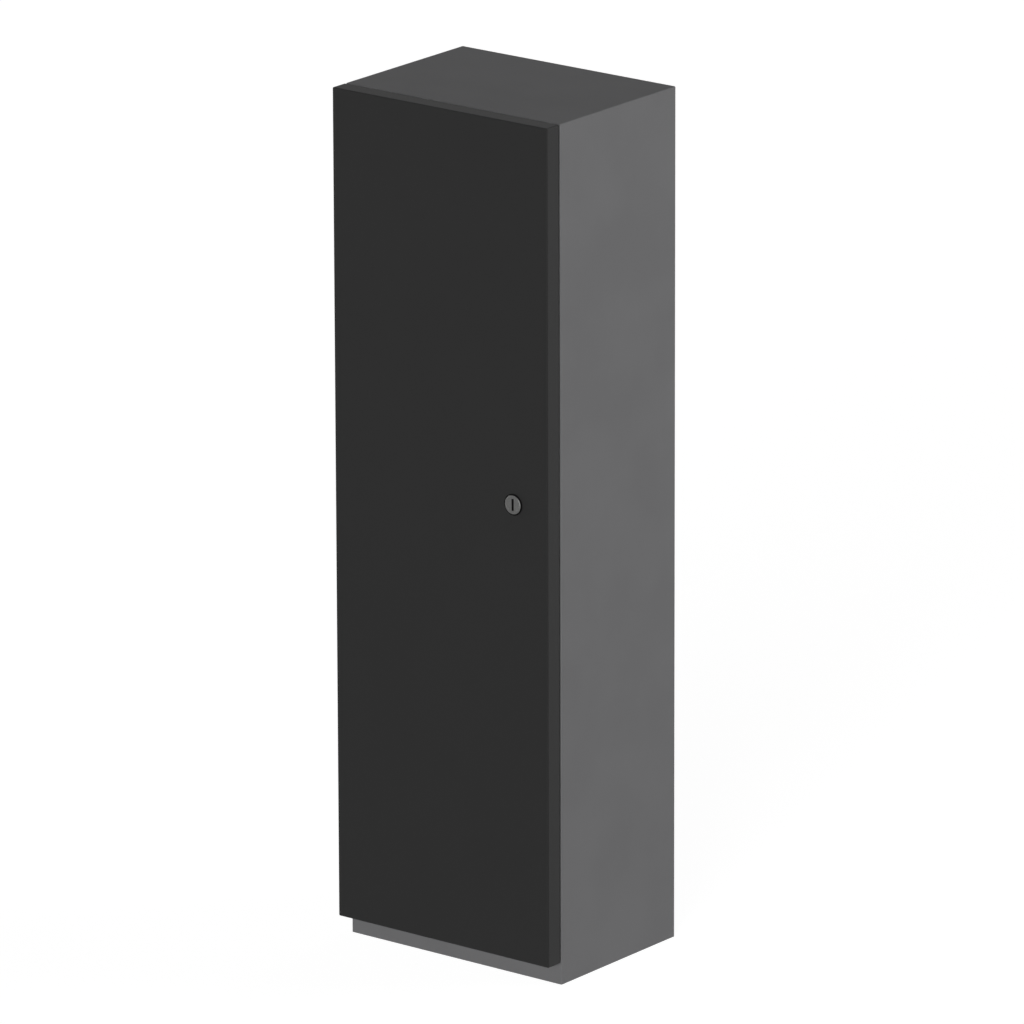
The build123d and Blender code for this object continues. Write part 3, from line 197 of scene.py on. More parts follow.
# %% Powder coat
CLOUD_MM = 90
CLOUD_SPAN = (0.35, 0.65)
PEEL_HEIGHT_MM = 0.05


def powder_coat(name, dark, light, roughness, specular, peel_mm):
    """Baked powder paint: matt, with a faint orange peel and hardly any change of shade."""
    material, tree, shader = new_material(name, roughness, **{"Specular IOR Level": specular})
    shade_between(tree, shader, noise(tree, CLOUD_MM, detail=2), dark, light, CLOUD_SPAN)
    raise_surface(tree, shader, noise(tree, peel_mm), PEEL_HEIGHT_MM)
    return material


anthracite = powder_coat("anthracite_powder_coat", "6e6e6f", "717172", 0.60, 0.07, 2.2)
black_coat = powder_coat("black_powder_coat", "1b1b1b", "1c1c1c", 0.62, 0.19, 1.8)
dress(anthracite, "cabinet_shell", "shaft_cover")
dress(black_coat, "door_panel", "door_stiffener")

# %% [markdown]
# ## Steel, aluminium and iron
# Plates and brackets inside are zinc plated, which gives a cool grey with faint cloudy spangles, and small
# fasteners are plated brighter. Pins and rods are turned, which leaves a close grain too fine to see as
# lines. Spring wire is tempered in oil and turns almost black. The gearbox and motor are die-cast aluminium,
# blasted to an even, dull grey, and the worm wheel is bronze. The bearing blocks are cast iron under a thick
# paint that keeps the casting's dimples, and the cranks wear a smoother black enamel. Both are paints, so the
# shader's metallic value is 0 for them.


# %% Metals
def metal_finish(name, dark, light, roughness, grain_mm, height_mm=0.01, metallic=1.0):
    """A metal, bare or painted, whose shade and gloss vary with how its surface was made."""
    material, tree, shader = new_material(name, roughness, metallic)
    grain = noise(tree, grain_mm)
    shade_between(tree, shader, grain, dark, light)
    vary_gloss(tree, shader, grain, roughness, spread=0.08)
    raise_surface(tree, shader, grain, height_mm)
    return material


zinc_plate = metal_finish("zinc_plated_sheet_steel", "8d8f90", "a3a5a6", 0.57, 9)
turned_steel = metal_finish("turned_steel", "808183", "96979a", 0.45, 0.7)
bright_zinc = metal_finish("bright_zinc_fastener", "9a9b97", "afb0ac", 0.45, 3)
spring_wire = metal_finish("oil_tempered_spring_wire", "4b4c4f", "5d5e61", 0.40, 2)
cast_aluminium = metal_finish("blasted_die_cast_aluminium", "8c8e90", "9ea0a2", 0.58, 1.2, height_mm=0.03)
bronze = metal_finish("cut_bronze", "9a7846", "b38e58", 0.35, 2)
lock_zinc = metal_finish("die_cast_zinc", "5b5b5b", "656564", 0.46, 1.5)
cast_iron = metal_finish("painted_cast_iron", "3c4144", "484d50", 0.55, 1.6, height_mm=0.06, metallic=0.0)
crank_enamel = metal_finish("black_enamel_on_steel", "1f2022", "28292b", 0.45, 2.5, metallic=0.0)

dress(
    zinc_plate, "base_plate", "drive_plate", "bearing_bridge", "sensor_bracket", "stop_blocks",
    "spring_shelf", "hinge_leaves", "hinge_wings", "power_supply", "mounting_rail",
)
dress(
    turned_steel, "spring_pin", "upper_rod_pin", "lower_rod_pin", "anchor_pin", "anchor_yoke",
    "output_shaft", "worm_shaft", "hinge_pins", "drive_rod", "upper_rod_end", "lower_rod_end",
    "limit_sensors",
)
dress(bright_zinc, "bearing_bolts", "gearbox_screws", "rod_nuts", "tension_nuts", "lock_nut", "lock_cam")
dress(spring_wire, "front_spring", "rear_spring")
dress(cast_aluminium, "gearbox_case", "gearbox_cover", "motor_body", "motor_cap")
dress(bronze, "worm_wheel")
dress(cast_iron, "front_bearing", "rear_bearing")
dress(crank_enamel, "boom_crank", "crank_arm")
dress(lock_zinc, "lock_body", "lock_core")

# %% [markdown]
# ## A face turned in a lathe
# The main shaft and the discs on it show the rings that a lathe's tool leaves as it moves over the face. A
# wave texture draws rings round the shaft's axis. It has one ring for each 2 pi / 20 of a unit at a scale of
# 1. Real rings are a tenth of a millimetre apart: they are drawn at 1.1 mm here, where they just show.

# %% Lathe rings
RING_STEP_MM = 1.1
RING_HEIGHT_MM = 0.012
WAVE_PERIOD = 2 * pi / 20


def lathe_turned(name, dark, light, roughness, axis):
    """A metal with fine rings round an axis, given by its x and z, that runs from front to back."""
    material, tree, shader = new_material(name, roughness, 1.0)
    spot = add(tree, "ShaderNodeTexCoord")
    shift = (-axis[0], 0, -axis[1])
    centred = add(tree, "ShaderNodeMapping", {"Location": shift}, {"Vector": spot.outputs["Object"]})
    settings = {
        "wave_type": "RINGS",
        "rings_direction": "Y",
        "Scale": WAVE_PERIOD / (RING_STEP_MM * MM),
        "Distortion": 0.6,
        "Detail": 2.0,
    }
    rings = add(tree, "ShaderNodeTexWave", settings, {"Vector": centred.outputs["Vector"]}).outputs["Fac"]
    shade_between(tree, shader, rings, dark, light, span=(0.1, 0.9))
    vary_gloss(tree, shader, rings, roughness, spread=0.06)
    raise_surface(tree, shader, rings, RING_HEIGHT_MM)
    return material


shaft_low, shaft_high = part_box("main_shaft")
shaft_axis = ((shaft_low[0] + shaft_high[0]) / 2, (shaft_low[2] + shaft_high[2]) / 2)
faced_steel = lathe_turned("lathe_turned_steel", "7d7e81", "959698", 0.47, shaft_axis)
dress(faced_steel, "main_shaft", "boom_flange", "shaft_cap", "limit_disc")

# %% [markdown]
# ## Rubber and moulded plastic
# Rubber is almost black and scatters light broadly. Moulded plastic copies its mould: a spark-eroded mould
# leaves the controller's ABS with an even, fine texture, and polyamide comes out a little glossier. Acetal
# buttons come from a polished mould and shine. All have an IOR of about 1.5. The near-black ring round the
# lock is painted shade for the gap round its head: the dullest of them, it throws back hardly any light.


# %% Rubber and plastics
def moulded(name, dark, light, roughness, grain_mm, height_mm=0.02, specular=0.5):
    """A moulded part, whose fine grain comes from its mould."""
    material, tree, shader = new_material(name, roughness, **{"Specular IOR Level": specular})
    grain = noise(tree, grain_mm)
    shade_between(tree, shader, grain, dark, light)
    raise_surface(tree, shader, grain, height_mm)
    return material


black_rubber = moulded("moulded_rubber", "161616", "1c1c1c", 0.82, 1.5)
# A near-black, dull material that paints the shade in the gap round the lock's head.
painted_shade_black = moulded("painted_gap_shade", "0a0a0a", "0d0d0d", 0.90, 1.2, specular=0.08)
grey_abs = moulded("spark_textured_abs", "a3a5a7", "a8aaac", 0.55, 0.9)
black_polyamide = moulded("black_polyamide", "1b1b1c", "212122", 0.48, 1.0)
terminal_polyamide = moulded("grey_polyamide", "8d908e", "969997", 0.50, 1.0)
green_acetal = moulded("green_acetal", "1c6e39", "1f7a40", 0.30, 2.0, height_mm=0.005)
red_acetal = moulded("red_acetal", "a01d18", "ad231d", 0.30, 2.0, height_mm=0.005)

dress(black_rubber, "door_seal", "stop_buffers", "cable_guard")
dress(grey_abs, "controller_case", "controller_lid")
dress(black_polyamide, "circuit_breaker", "hand_wheel", "breaker_toggle")
dress(terminal_polyamide, "terminal_blocks")
dress(green_acetal, "raise_button")
dress(red_acetal, "lower_button")

# %% [markdown]
# ## Drawing small pieces
# Screws, rings and threads are turned parts, so they can be drawn the way a lathe cuts them: a profile, whose
# points are a distance along an axis and a radius, is spun round that axis. Blender's own spin tool does that
# for one profile at a time. Doing it in bmesh lets one mesh hold all the equal screws. Sizes are written in
# millimetres and turned into metres once, when the piece is made.

# %% Places and turned shapes
CORNERS = ((-1, -1), (1, -1), (1, 1), (-1, 1))
OUTWARD = (0, -1, 0)
BACKWARD = (0, 1, 0)
UPWARD = (0, 0, 1)
DOWNWARD = (0, 0, -1)


def corners(node):
    """A CAD node's lowest and highest corners, in millimetres."""
    return tuple(Vector(corner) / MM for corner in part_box(node))


def middle(node):
    """The middle of a CAD node, in millimetres."""
    low, high = corners(node)
    return (low + high) / 2


def axes_along(towards):
    """An axis in a direction, and two directions square to it and to each other."""
    axis = Vector(towards).normalized()
    side = Vector((0, 0, 1)) if abs(axis.z) < 0.5 else Vector((1, 0, 0))
    side = (side - axis * side.dot(axis)).normalized()
    return axis, side, axis.cross(side)


def spin(bm, profile, centre, towards, sides=32, closed=False):
    """Spins a profile of (distance, radius) points round an axis that leaves a centre in a direction."""
    axis, side, across = axes_along(towards)
    rings = []
    for distance, radius in profile:
        here = Vector(centre) + axis * distance
        turns = [2 * pi * step / sides for step in range(sides if radius else 1)]
        rings.append([bm.verts.new(here + (side * cos(a) + across * sin(a)) * radius) for a in turns])
    for one, two in zip(rings, rings[1:] + (rings[:1] if closed else [])):
        for step in range(sides):
            after = (step + 1) % sides
            around = [one[step % len(one)], one[after % len(one)]]
            around += [two[after % len(two)], two[step % len(two)]]
            bm.faces.new(list(dict.fromkeys(around)))
    return rings


print("the cabinet's middle, in mm:", list(middle("cabinet_shell")))

# %% [markdown]
# ## Bars, frames and finished pieces
# Some small parts aren't round: an arrow is a flat bar, and a bezel or a seal is one section led round a
# rectangle with mitred corners. Each is closed on all sides, as a solid is. The last helper turns a drawn
# shape into a mesh with smooth curves and crisp edges, and ties it to the body that it moves with.


# %% Other shapes, and making a piece
def prism(bm, outline, shift):
    """A solid bar: an outline and its copy at this shift, with walls between them and an end on each."""
    near = [bm.verts.new(point) for point in outline]
    far = [bm.verts.new(Vector(point) + Vector(shift)) for point in outline]
    for step in range(len(outline)):
        after = (step + 1) % len(outline)
        bm.faces.new((near[step], near[after], far[after], far[step]))
    bm.faces.new(near)
    bm.faces.new(far)


def frame_strip(bm, centre, half_across, half_up, section):
    """Sweeps a closed section round an upright rectangle. Its points are (outwards, towards the door)."""
    loops = []
    for out, forward in section:
        across, rise = half_across + out, half_up + out
        shifts = [Vector((u * across, -forward, v * rise)) for u, v in CORNERS]
        loops.append([bm.verts.new(Vector(centre) + shift) for shift in shifts])
    for one, two in zip(loops, loops[1:] + loops[:1]):
        for step in range(4):
            after = (step + 1) % 4
            bm.faces.new((one[step], one[after], two[after], two[step]))


def make_piece(name, bm, material, body, replaced=(), smooth_deg=35):
    """Turns a shape that was drawn in millimetres into a piece that rides on a body."""
    bmesh.ops.recalc_face_normals(bm, faces=bm.faces)
    bmesh.ops.scale(bm, vec=(MM, MM, MM), verts=bm.verts)
    mesh = bpy.data.meshes.new(name)
    bm.to_mesh(mesh)
    bm.free()
    mesh.shade_smooth()
    mesh.set_sharp_from_angle(angle=radians(smooth_deg))
    piece = bpy.data.objects.new(name, mesh)
    piece.data.materials.append(material)
    scene.collection.objects.link(piece)
    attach(piece, body)
    if replaced:
        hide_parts(*replaced)
    print(name, len(mesh.polygons), "faces, on", body)


# %% [markdown]
# ## The lock
# A cam lock is a die-cast cylinder with a thread along its barrel. Its head is turned smooth with a rounded
# rim, which catches the light on one side; the near-black ring round it is painted shade for the gap. The
# thread is drawn as a row of ridges at its real step: at this size nobody sees that a true thread climbs. The
# head is a little slimmer than the solid's, so that the ring and the head together are as wide as in the
# picture.

# %% Lock case
HEAD_TRIM = 0.5
RIM = 0.9
RIM_STEPS = 6
CORE_RADIUS = 8.25
CORE_DEPTH = 13.1
CORE_BEVEL = 0.25
TAIL_RADIUS = 5.05
BARREL_RADIUS = 10.0
BARREL_BEVEL = 0.6
PLAIN_BARREL = 2.5
THREAD_PITCH = 1.5
THREAD_DEPTH = 0.7
THREAD_STOP = 1.0

door_low, door_high = corners("door_panel")
door_front = door_low.y
lock_low, lock_high = corners("lock_body")
lock_middle = middle("lock_body")
head_radius = (lock_high.x - lock_low.x) / 2 - HEAD_TRIM
head_thick = door_front - lock_low.y
barrel_end = lock_high.y - lock_low.y

lock_profile = [(-CORE_DEPTH, TAIL_RADIUS), (-CORE_DEPTH, CORE_RADIUS)]
lock_profile += [(-CORE_BEVEL, CORE_RADIUS), (0, CORE_RADIUS + CORE_BEVEL)]
for step in range(RIM_STEPS + 1):
    turn = pi / 2 * step / RIM_STEPS
    lock_profile.append((-RIM * (1 - cos(turn)), head_radius - RIM * (1 - sin(turn))))
lock_profile += [(-head_thick, head_radius), (-head_thick, BARREL_RADIUS)]
along = head_thick + PLAIN_BARREL
while along + THREAD_PITCH < barrel_end - THREAD_STOP:
    lock_profile += [(-along, BARREL_RADIUS), (-along - THREAD_PITCH / 2, BARREL_RADIUS - THREAD_DEPTH)]
    along += THREAD_PITCH
lock_profile += [(-along, BARREL_RADIUS), (-barrel_end, BARREL_RADIUS - BARREL_BEVEL)]
lock_profile.append((-barrel_end, TAIL_RADIUS))

bm = bmesh.new()
lock_face = (lock_middle.x, lock_low.y, lock_middle.z)
spin(bm, lock_profile, lock_face, OUTWARD, sides=64, closed=True)
make_piece("lock_case", bm, lock_zinc, "door", ["lock_body"], smooth_deg=30)

# %% [markdown]
# ## Painted shade round the lock
# The ring sits between the head and the door, a near-black band that paints the shade of the gap round the
# head. A small bevel keeps its outer edge from looking cut.

# %% Lock ring of painted shade
RING_WIDTH = 1.3
RING_THICK = 1.2
RING_EDGE = 0.3
ring_radius = head_radius + RING_WIDTH
bm = bmesh.new()
ring = [(0, head_radius), (0, ring_radius), (RING_THICK - RING_EDGE, ring_radius)]
ring += [(RING_THICK, ring_radius - RING_EDGE), (RING_THICK, head_radius)]
spin(bm, ring, (lock_middle.x, door_front, lock_middle.z), OUTWARD, sides=64, closed=True)
# A dark ring that stands for the shade in the gap round the lock's head.
make_piece("painted_shade_ring", bm, painted_shade_black, "door")

# %% [markdown]
# ## The door seal
# Seals of this kind are extruded foam rubber with a domed top, glued round the opening. The dome is blunt,
# because the door's lip presses on it. One closed section is swept round a rectangle with mitred corners.

# %% Door seal
SEAL_WIDTH = 8.0
DOME_STEPS = 8
DOME_FOOT = 0.55
DOME_RISE = 0.43
DOME_BLUNT = 0.6

seal_low, seal_high = corners("door_seal")
seal_middle = middle("door_seal")
seal_thick = seal_high.y - seal_low.y
section = [(0, 0)]
for step in range(DOME_STEPS + 1):
    share = step / DOME_STEPS
    section.append((SEAL_WIDTH * share, seal_thick * (DOME_FOOT + DOME_RISE * sin(pi * share) ** DOME_BLUNT)))
section.append((SEAL_WIDTH, 0))
half_across = (seal_high.x - seal_low.x) / 2 - SEAL_WIDTH
half_up = (seal_high.z - seal_low.z) / 2 - SEAL_WIDTH
bm = bmesh.new()
frame_strip(bm, (seal_middle.x, seal_high.y, seal_middle.z), half_across, half_up, section)
make_piece("foam_seal", bm, black_rubber, "root", ["door_seal"])

# %% [markdown]
# ## The balance springs
# Each spring is a coil of hardened wire whose ends turn in to the middle, rise as a straight stem and close
# in a loop round a pin. A coil is drawn best as a curve with a round bevel, through points that follow it, so
# the first step works out those points. The loops are taller than they are wide, so that they still clear the
# pins when the spring is at its shortest.

# %% The wire's path
WIRE_RADIUS = 2.5
PIN_RADIUS = 8.0
PIN_GAP = 0.3
COIL_TURNS = 44
TURN_STEPS = 24
RISE_STEPS = 14
LOOP_STEPS = 30
LOOP_TURN = radians(240)
COIL_SHANK = 45.0
SHORTENED = 0.844

lower_z = middle("anchor_pin").z
upper_z = middle("spring_pin").z
spring_x = middle("anchor_pin").x
loop_radius = PIN_RADIUS + WIRE_RADIUS + PIN_GAP


def eased(share):
    """A share from 0 to 1 that starts and ends gently."""
    return share * share * (3 - 2 * share)


def hook_points(radius, tall):
    """From the stem's end round the pin: across and up, with the pin's centre at zero."""
    stem = [step / RISE_STEPS for step in range(RISE_STEPS)]
    turns = [LOOP_TURN * step / LOOP_STEPS for step in range(LOOP_STEPS + 1)]
    points = [(radius * eased(share), 2 * tall * (share - 1)) for share in stem]
    return points + [(radius * cos(turn), tall * sin(turn)) for turn in turns]


def spring_path(coil_radius):
    """The middle of the wire, from the loop on the lower pin through the coil to the upper loop."""
    coil_low, coil_high = lower_z + COIL_SHANK, upper_z - COIL_SHANK

    def turned_in(share, way, end):
        """A point of the half turn at an end of the coil. The share is 1 at the coil and 0 at the stem."""
        turn = way * pi * (1 - share)
        inward = coil_radius * eased(share)
        return inward * cos(turn), inward * sin(turn), end + way * coil_radius * (1 - share)

    hook = hook_points(loop_radius, loop_radius / SHORTENED)
    path = [(u, 0, lower_z - v) for u, v in reversed(hook)]
    path += [turned_in(step / TURN_STEPS, -1, coil_low) for step in range(TURN_STEPS)]
    for step in range(COIL_TURNS * TURN_STEPS + 1):
        turn = 2 * pi * step / TURN_STEPS
        rise = (coil_high - coil_low) * step / (COIL_TURNS * TURN_STEPS)
        path.append((coil_radius * cos(turn), coil_radius * sin(turn), coil_low + rise))
    path += [turned_in(1 - step / TURN_STEPS, 1, coil_high) for step in range(1, TURN_STEPS)]
    return path + [(u, 0, upper_z + v) for u, v in hook]


print("the springs' pins are", round(upper_z - lower_z, 1), "mm apart")


# %% Springs
def wire_mesh(name, path, spring_y):
    """A mesh of round wire along a path: across and back from the spring's axis and up from the ground."""
    curve = bpy.data.curves.new(name, "CURVE")
    curve.dimensions = "3D"
    curve.bevel_depth = WIRE_RADIUS * MM
    curve.bevel_resolution = 3
    curve.use_fill_caps = True
    spline = curve.splines.new("POLY")
    spline.points.add(len(path) - 1)
    for point, (u, v, w) in zip(spline.points, path):
        point.co = ((spring_x + u) * MM, (spring_y + v) * MM, w * MM, 1)
    guide = bpy.data.objects.new(name, curve)
    scene.collection.objects.link(guide)
    bpy.context.view_layer.update()
    mesh = bpy.data.meshes.new_from_object(guide)
    bpy.data.objects.remove(guide)
    mesh.shade_smooth()
    mesh.materials.clear()
    mesh.materials.append(spring_wire)
    return mesh


for end in ("front", "rear"):
    low, high = corners(f"{end}_spring")
    spring_y = (low.y + high.y) / 2
    path = spring_path((high.y - low.y) / 2 - WIRE_RADIUS)
    coil = bpy.data.objects.new(f"{end}_coil", wire_mesh(f"{end}_wire", path, spring_y))
    scene.collection.objects.link(coil)
    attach(coil, "springs")
    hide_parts(f"{end}_spring")
    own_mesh(coil)
    print(coil.name, len(coil.data.polygons), "faces")

# %% [markdown]
# ## Threads
# The drive rod and the yoke's stem are threaded rod, cut at 1.75 and 2 mm a turn. A fine thread reads as
# close bright rings, so each is a profile of ridges that a spin turns into a rod. The stem's ridges stand a
# hair past the solid stem under them, so that the two surfaces never fall together.

# %% Threaded rods
ROOT_DEPTH = 0.55
ROD_RADIUS = 6.0
ROD_SHANK = 34.0
ROD_PITCH = 1.75
STEM_RADIUS = 8.0
STEM_PITCH = 2.0
HAIR = 0.04
SLIVER = 0.01
YOKE_HALF_HEIGHT = 15.0


def thread_profile(length, crest, step):
    """A thread's ridges along a rod, with a plain end if more than a sliver is left over."""
    count = int(length / step)
    ridges = []
    for index in range(count):
        ridges += [(step * index, crest), (step * (index + 0.5), crest - ROOT_DEPTH)]
    ridges.append((count * step, crest))
    return ridges if count * step > length - SLIVER else ridges + [(length, crest)]


def threaded_rod(name, start, towards, length, thread, body, replaced=()):
    """A rod with a thread, which is a crest radius and a step, along its whole length."""
    bm = bmesh.new()
    spin(bm, [(0, 0)] + thread_profile(length, *thread) + [(length, 0)], start, towards, sides=24)
    make_piece(name, bm, turned_steel, body, replaced)


lower_eye, upper_eye = middle("lower_rod_pin"), middle("upper_rod_pin")
lower_eye.y = upper_eye.y = middle("drive_rod").y
rod_way = (upper_eye - lower_eye).normalized()
rod_start = lower_eye + rod_way * ROD_SHANK
rod_length = (upper_eye - lower_eye).length - 2 * ROD_SHANK
rod_thread = (ROD_RADIUS, ROD_PITCH)
threaded_rod("threaded_drive_rod", rod_start, rod_way, rod_length, rod_thread, "rod", ["drive_rod"])

yoke_middle = middle("anchor_yoke")
stem_low = corners("anchor_yoke")[0].z
stem_length = lower_z - YOKE_HALF_HEIGHT - stem_low
stem_thread = (STEM_RADIUS + HAIR, STEM_PITCH)
stem_start = (yoke_middle.x, yoke_middle.y, stem_low)
threaded_rod("stem_thread", stem_start, UPWARD, stem_length, stem_thread, "root")

# %% [markdown]
# ## Cross-head screws
# Sheet-metal work is held by a few kinds of fastener. The lightest is the cross-head screw: a low dome with a
# cross cut into it. The recess is real geometry, cut into the head's top, because its dark cross is all that
# one sees of such a screw. Where a recess is deep for its head, the head's underside is sunk in the sheet.

# %% Cross-head screws
CROWN = ((0.4, 1.0), (0.8, 0.93), (1.0, 0.8))
UNDER_RECESS = 0.2


def cross_outline(reach, width):
    """The outline of a cross recess, as a cross-head screwdriver needs."""
    half = width / 2
    arm = [(reach, -half), (reach, half), (half, half)]
    quarter = ((1, 0, 0, 1), (0, -1, 1, 0), (-1, 0, 0, -1), (0, 1, -1, 0))
    return [(a * u + b * v, c * u + d * v) for a, b, c, d in quarter for u, v in arm]


def recessed_head(bm, centre, towards, radius, height, outline, depth):
    """A domed screw head with a recess of this outline and depth in its top."""
    under = min(0, height - depth - UNDER_RECESS)
    profile = [(under, 0), (under, radius)] + [(height * rise, radius * share) for rise, share in CROWN]
    top = spin(bm, profile, centre, towards, sides=24)[-1]
    axis, side, across = axes_along(towards)
    lip, recess_floor = (
        [bm.verts.new(Vector(centre) + side * u + across * v + axis * level) for u, v in outline]
        for level in (height, height - depth)
    )
    loops = [list(zip(loop, loop[1:] + loop[:1])) for loop in (top, lip)]
    edges = [bm.edges.get(pair) or bm.edges.new(pair) for loop in loops for pair in loop]
    bmesh.ops.triangle_fill(bm, use_beauty=True, edges=edges)
    for step in range(len(outline)):
        after = (step + 1) % len(outline)
        bm.faces.new((lip[step], lip[after], recess_floor[after], recess_floor[step]))
    bm.faces.new(recess_floor)


def screws(name, body, towards, seats, screw):
    """One mesh of equal screws, each a head radius, a height, a recess outline and its depth."""
    bm = bmesh.new()
    for seat in seats:
        recessed_head(bm, seat, towards, *screw)
    make_piece(name, bm, bright_zinc, body)


cross = cross_outline(2.0, 0.9)
small_cross = cross_outline(1.7, 0.7)
print("a cross recess has", len(cross), "corners")

# %% [markdown]
# ## Hinge screws
# Each hinge wing is screwed to the inside of the door, and each leaf to the front of the cabinet. The leaf's
# screws are countersunk, so hardly more than their crosses show.

# %% Hinge screws
HINGE_SHARES = (0.16, 0.86)
HINGE_PLATE = 2.5
DOOR_SHEET = 1.5
WING_INSET = 5.5
WING_RISE = 20
WING_SCREW = (3.6, 1.6, cross, 1.0)
LEAF_INSET = 9.5
LEAF_RISE = 24
LEAF_SCREW = (2.8, 0.25, small_cross, 0.6)

cabinet_low, cabinet_high = corners("cabinet_shell")
hinge_heights = [share * cabinet_high.z for share in HINGE_SHARES]
wing_x = corners("hinge_wings")[1].x - WING_INSET
wing_y = door_front + DOOR_SHEET + HINGE_PLATE
wing_seats = [(wing_x, wing_y, z + way * WING_RISE) for z in hinge_heights for way in (-1, 1)]
screws("hinge_wing_screws", "door", BACKWARD, wing_seats, WING_SCREW)

leaf_x = corners("hinge_leaves")[1].x - LEAF_INSET
leaf_y = cabinet_low.y - HINGE_PLATE
leaf_seats = [(leaf_x, leaf_y, z + way * LEAF_RISE) for z in hinge_heights for way in (-1, 1)]
screws("hinge_leaf_screws", "root", OUTWARD, leaf_seats, LEAF_SCREW)

# %% [markdown]
# ## Bolts and nuts
# Hexagon bolts with washers sit where a load pulls: they hold the bearing bridge to the cabinet's sides. The
# drive plate is held by nuts on weld studs, whose ends stand out of the nuts. A bolt or a nut is given here
# by the radius and height of its hexagon and the radius of its washer.

# %% Bridge bolts and plate nuts
WASHER_THICK = 1.6
HEX_BEVEL = 0.12
HEX_CROWN = 0.86
BRIDGE_SHEET = 6.0
BRIDGE_BOLT_BEHIND = 12
BRIDGE_BOLT_RISE = 30
BRIDGE_BOLT = (9.0, 5.5, 10.5)
NUT_HEIGHT = 7.0
PLATE_NUT = (8.0, NUT_HEIGHT, 10.0)
STUD_ASIDE = 15
STUD_INSET = 18
STUD_RADIUS = 4.0
STUD_END = 13.0
STUD_BEVEL = (1.0, 0.8)


def washer(bm, centre, towards, radius, thick=WASHER_THICK):
    """A flat washer, drawn as a disc because a head or a nut covers its hole."""
    spin(bm, [(0, 0), (0, radius), (thick, radius), (thick, 0)], centre, towards)


def hex_head(bm, centre, towards, radius, height, washer_radius=0):
    """A hexagon head or nut with its corners turned off, on a washer of this radius if it has one."""
    low = WASHER_THICK if washer_radius else 0
    if washer_radius:
        washer(bm, centre, towards, washer_radius)
    top = low + height
    bevel = [(top - height * HEX_BEVEL, radius), (top, radius * HEX_CROWN)]
    spin(bm, [(low, 0), (low, radius)] + bevel + [(top, 0)], centre, towards, sides=6)


bridge_low, bridge_high = corners("bearing_bridge")
bridge_middle = middle("bearing_bridge")
bm = bmesh.new()
for side in (-1, 1):
    for way in (-1, 1):
        bolt_z = bridge_middle.z + way * BRIDGE_BOLT_RISE
        seat = (side * (bridge_high.x - BRIDGE_SHEET), bridge_high.y - BRIDGE_BOLT_BEHIND, bolt_z)
        hex_head(bm, seat, (-side, 0, 0), *BRIDGE_BOLT)
make_piece("bridge_bolts", bm, bright_zinc, "root")

plate_low, plate_high = corners("drive_plate")
nut_top = WASHER_THICK + NUT_HEIGHT
stud = [(nut_top, 0), (nut_top, STUD_RADIUS), (STUD_END - STUD_BEVEL[0], STUD_RADIUS)]
stud += [(STUD_END, STUD_RADIUS - STUD_BEVEL[1]), (STUD_END, 0)]
bm = bmesh.new()
for side in (-1, 1):
    for stud_z in (plate_low.z + STUD_INSET, middle("drive_plate").z, plate_high.z - STUD_INSET):
        seat = (side * (plate_high.x - STUD_ASIDE), plate_low.y, stud_z)
        hex_head(bm, seat, OUTWARD, *PLATE_NUT)
        spin(bm, stud, seat, OUTWARD, sides=20)
make_piece("plate_nuts", bm, bright_zinc, "root")

# %% [markdown]
# ## Round the main shaft
# Each flange bearing sits on four bolts, which get a washer below and a crown on top, the round face that a
# hexagon head is turned to. Four more cross-head screws hold the cover behind the boom's flange.

# %% Bearing washers and cover screws
BOLT_SPACING = 66.0
BEARING_FLANGE = 13.0
BOLT_WASHER = 10.4
BOLT_HEAD = 6.4
BOLT_CROWN = ((BOLT_HEAD, 0), (BOLT_HEAD, 7.6), (6.9, 7.0), (6.9, 0))
COVER_CIRCLE = 38.0
COVER_TURNS = (45, 135, 225, 315)
COVER_SCREW = (4.2, 2.2, cross, 1.4)

shaft_middle = middle("main_shaft")
bearing_seats = (bridge_low.y, plate_low.y)
bm = bmesh.new()
for seat_y in bearing_seats:
    for u, v in CORNERS:
        bolt_x, bolt_z = shaft_middle.x + u * BOLT_SPACING / 2, shaft_middle.z + v * BOLT_SPACING / 2
        bolt = (bolt_x, seat_y - BEARING_FLANGE, bolt_z)
        washer(bm, bolt, OUTWARD, BOLT_WASHER)
        spin(bm, BOLT_CROWN, bolt, OUTWARD)
make_piece("bearing_washers", bm, bright_zinc, "root")

cover_middle = middle("shaft_cover")
cover_back = corners("shaft_cover")[1].y
cover_seats = [
    (cover_middle.x + COVER_CIRCLE * cos(turn), cover_back, cover_middle.z + COVER_CIRCLE * sin(turn))
    for turn in map(radians, COVER_TURNS)
]
screws("shaft_cover_screws", "root", BACKWARD, cover_seats, COVER_SCREW)

# %% [markdown]
# ## The limit sensors
# A round sensor is a threaded tube that two thin nuts clamp in its bracket. Its sensing tip is a cap of black
# plastic, and at the other end a short boot guards the cable.

# %% Limit sensors
SENSOR_RADIUS = 6.0
BRACKET_THICK = 3.0
SENSOR_NUT = ((0, SENSOR_RADIUS), (0, 9.4), (3.4, 9.4), (4.0, 8.6), (4.0, SENSOR_RADIUS))
SENSOR_TIP = ((0, 0), (0, 4.6), (-0.6, 5.4), (-5, 5.4), (-5, 0))
SENSOR_BOOT = ((0, 0), (0, 5.2), (3, 5.0), (5, 3.2), (9, 2.9), (9, 0))

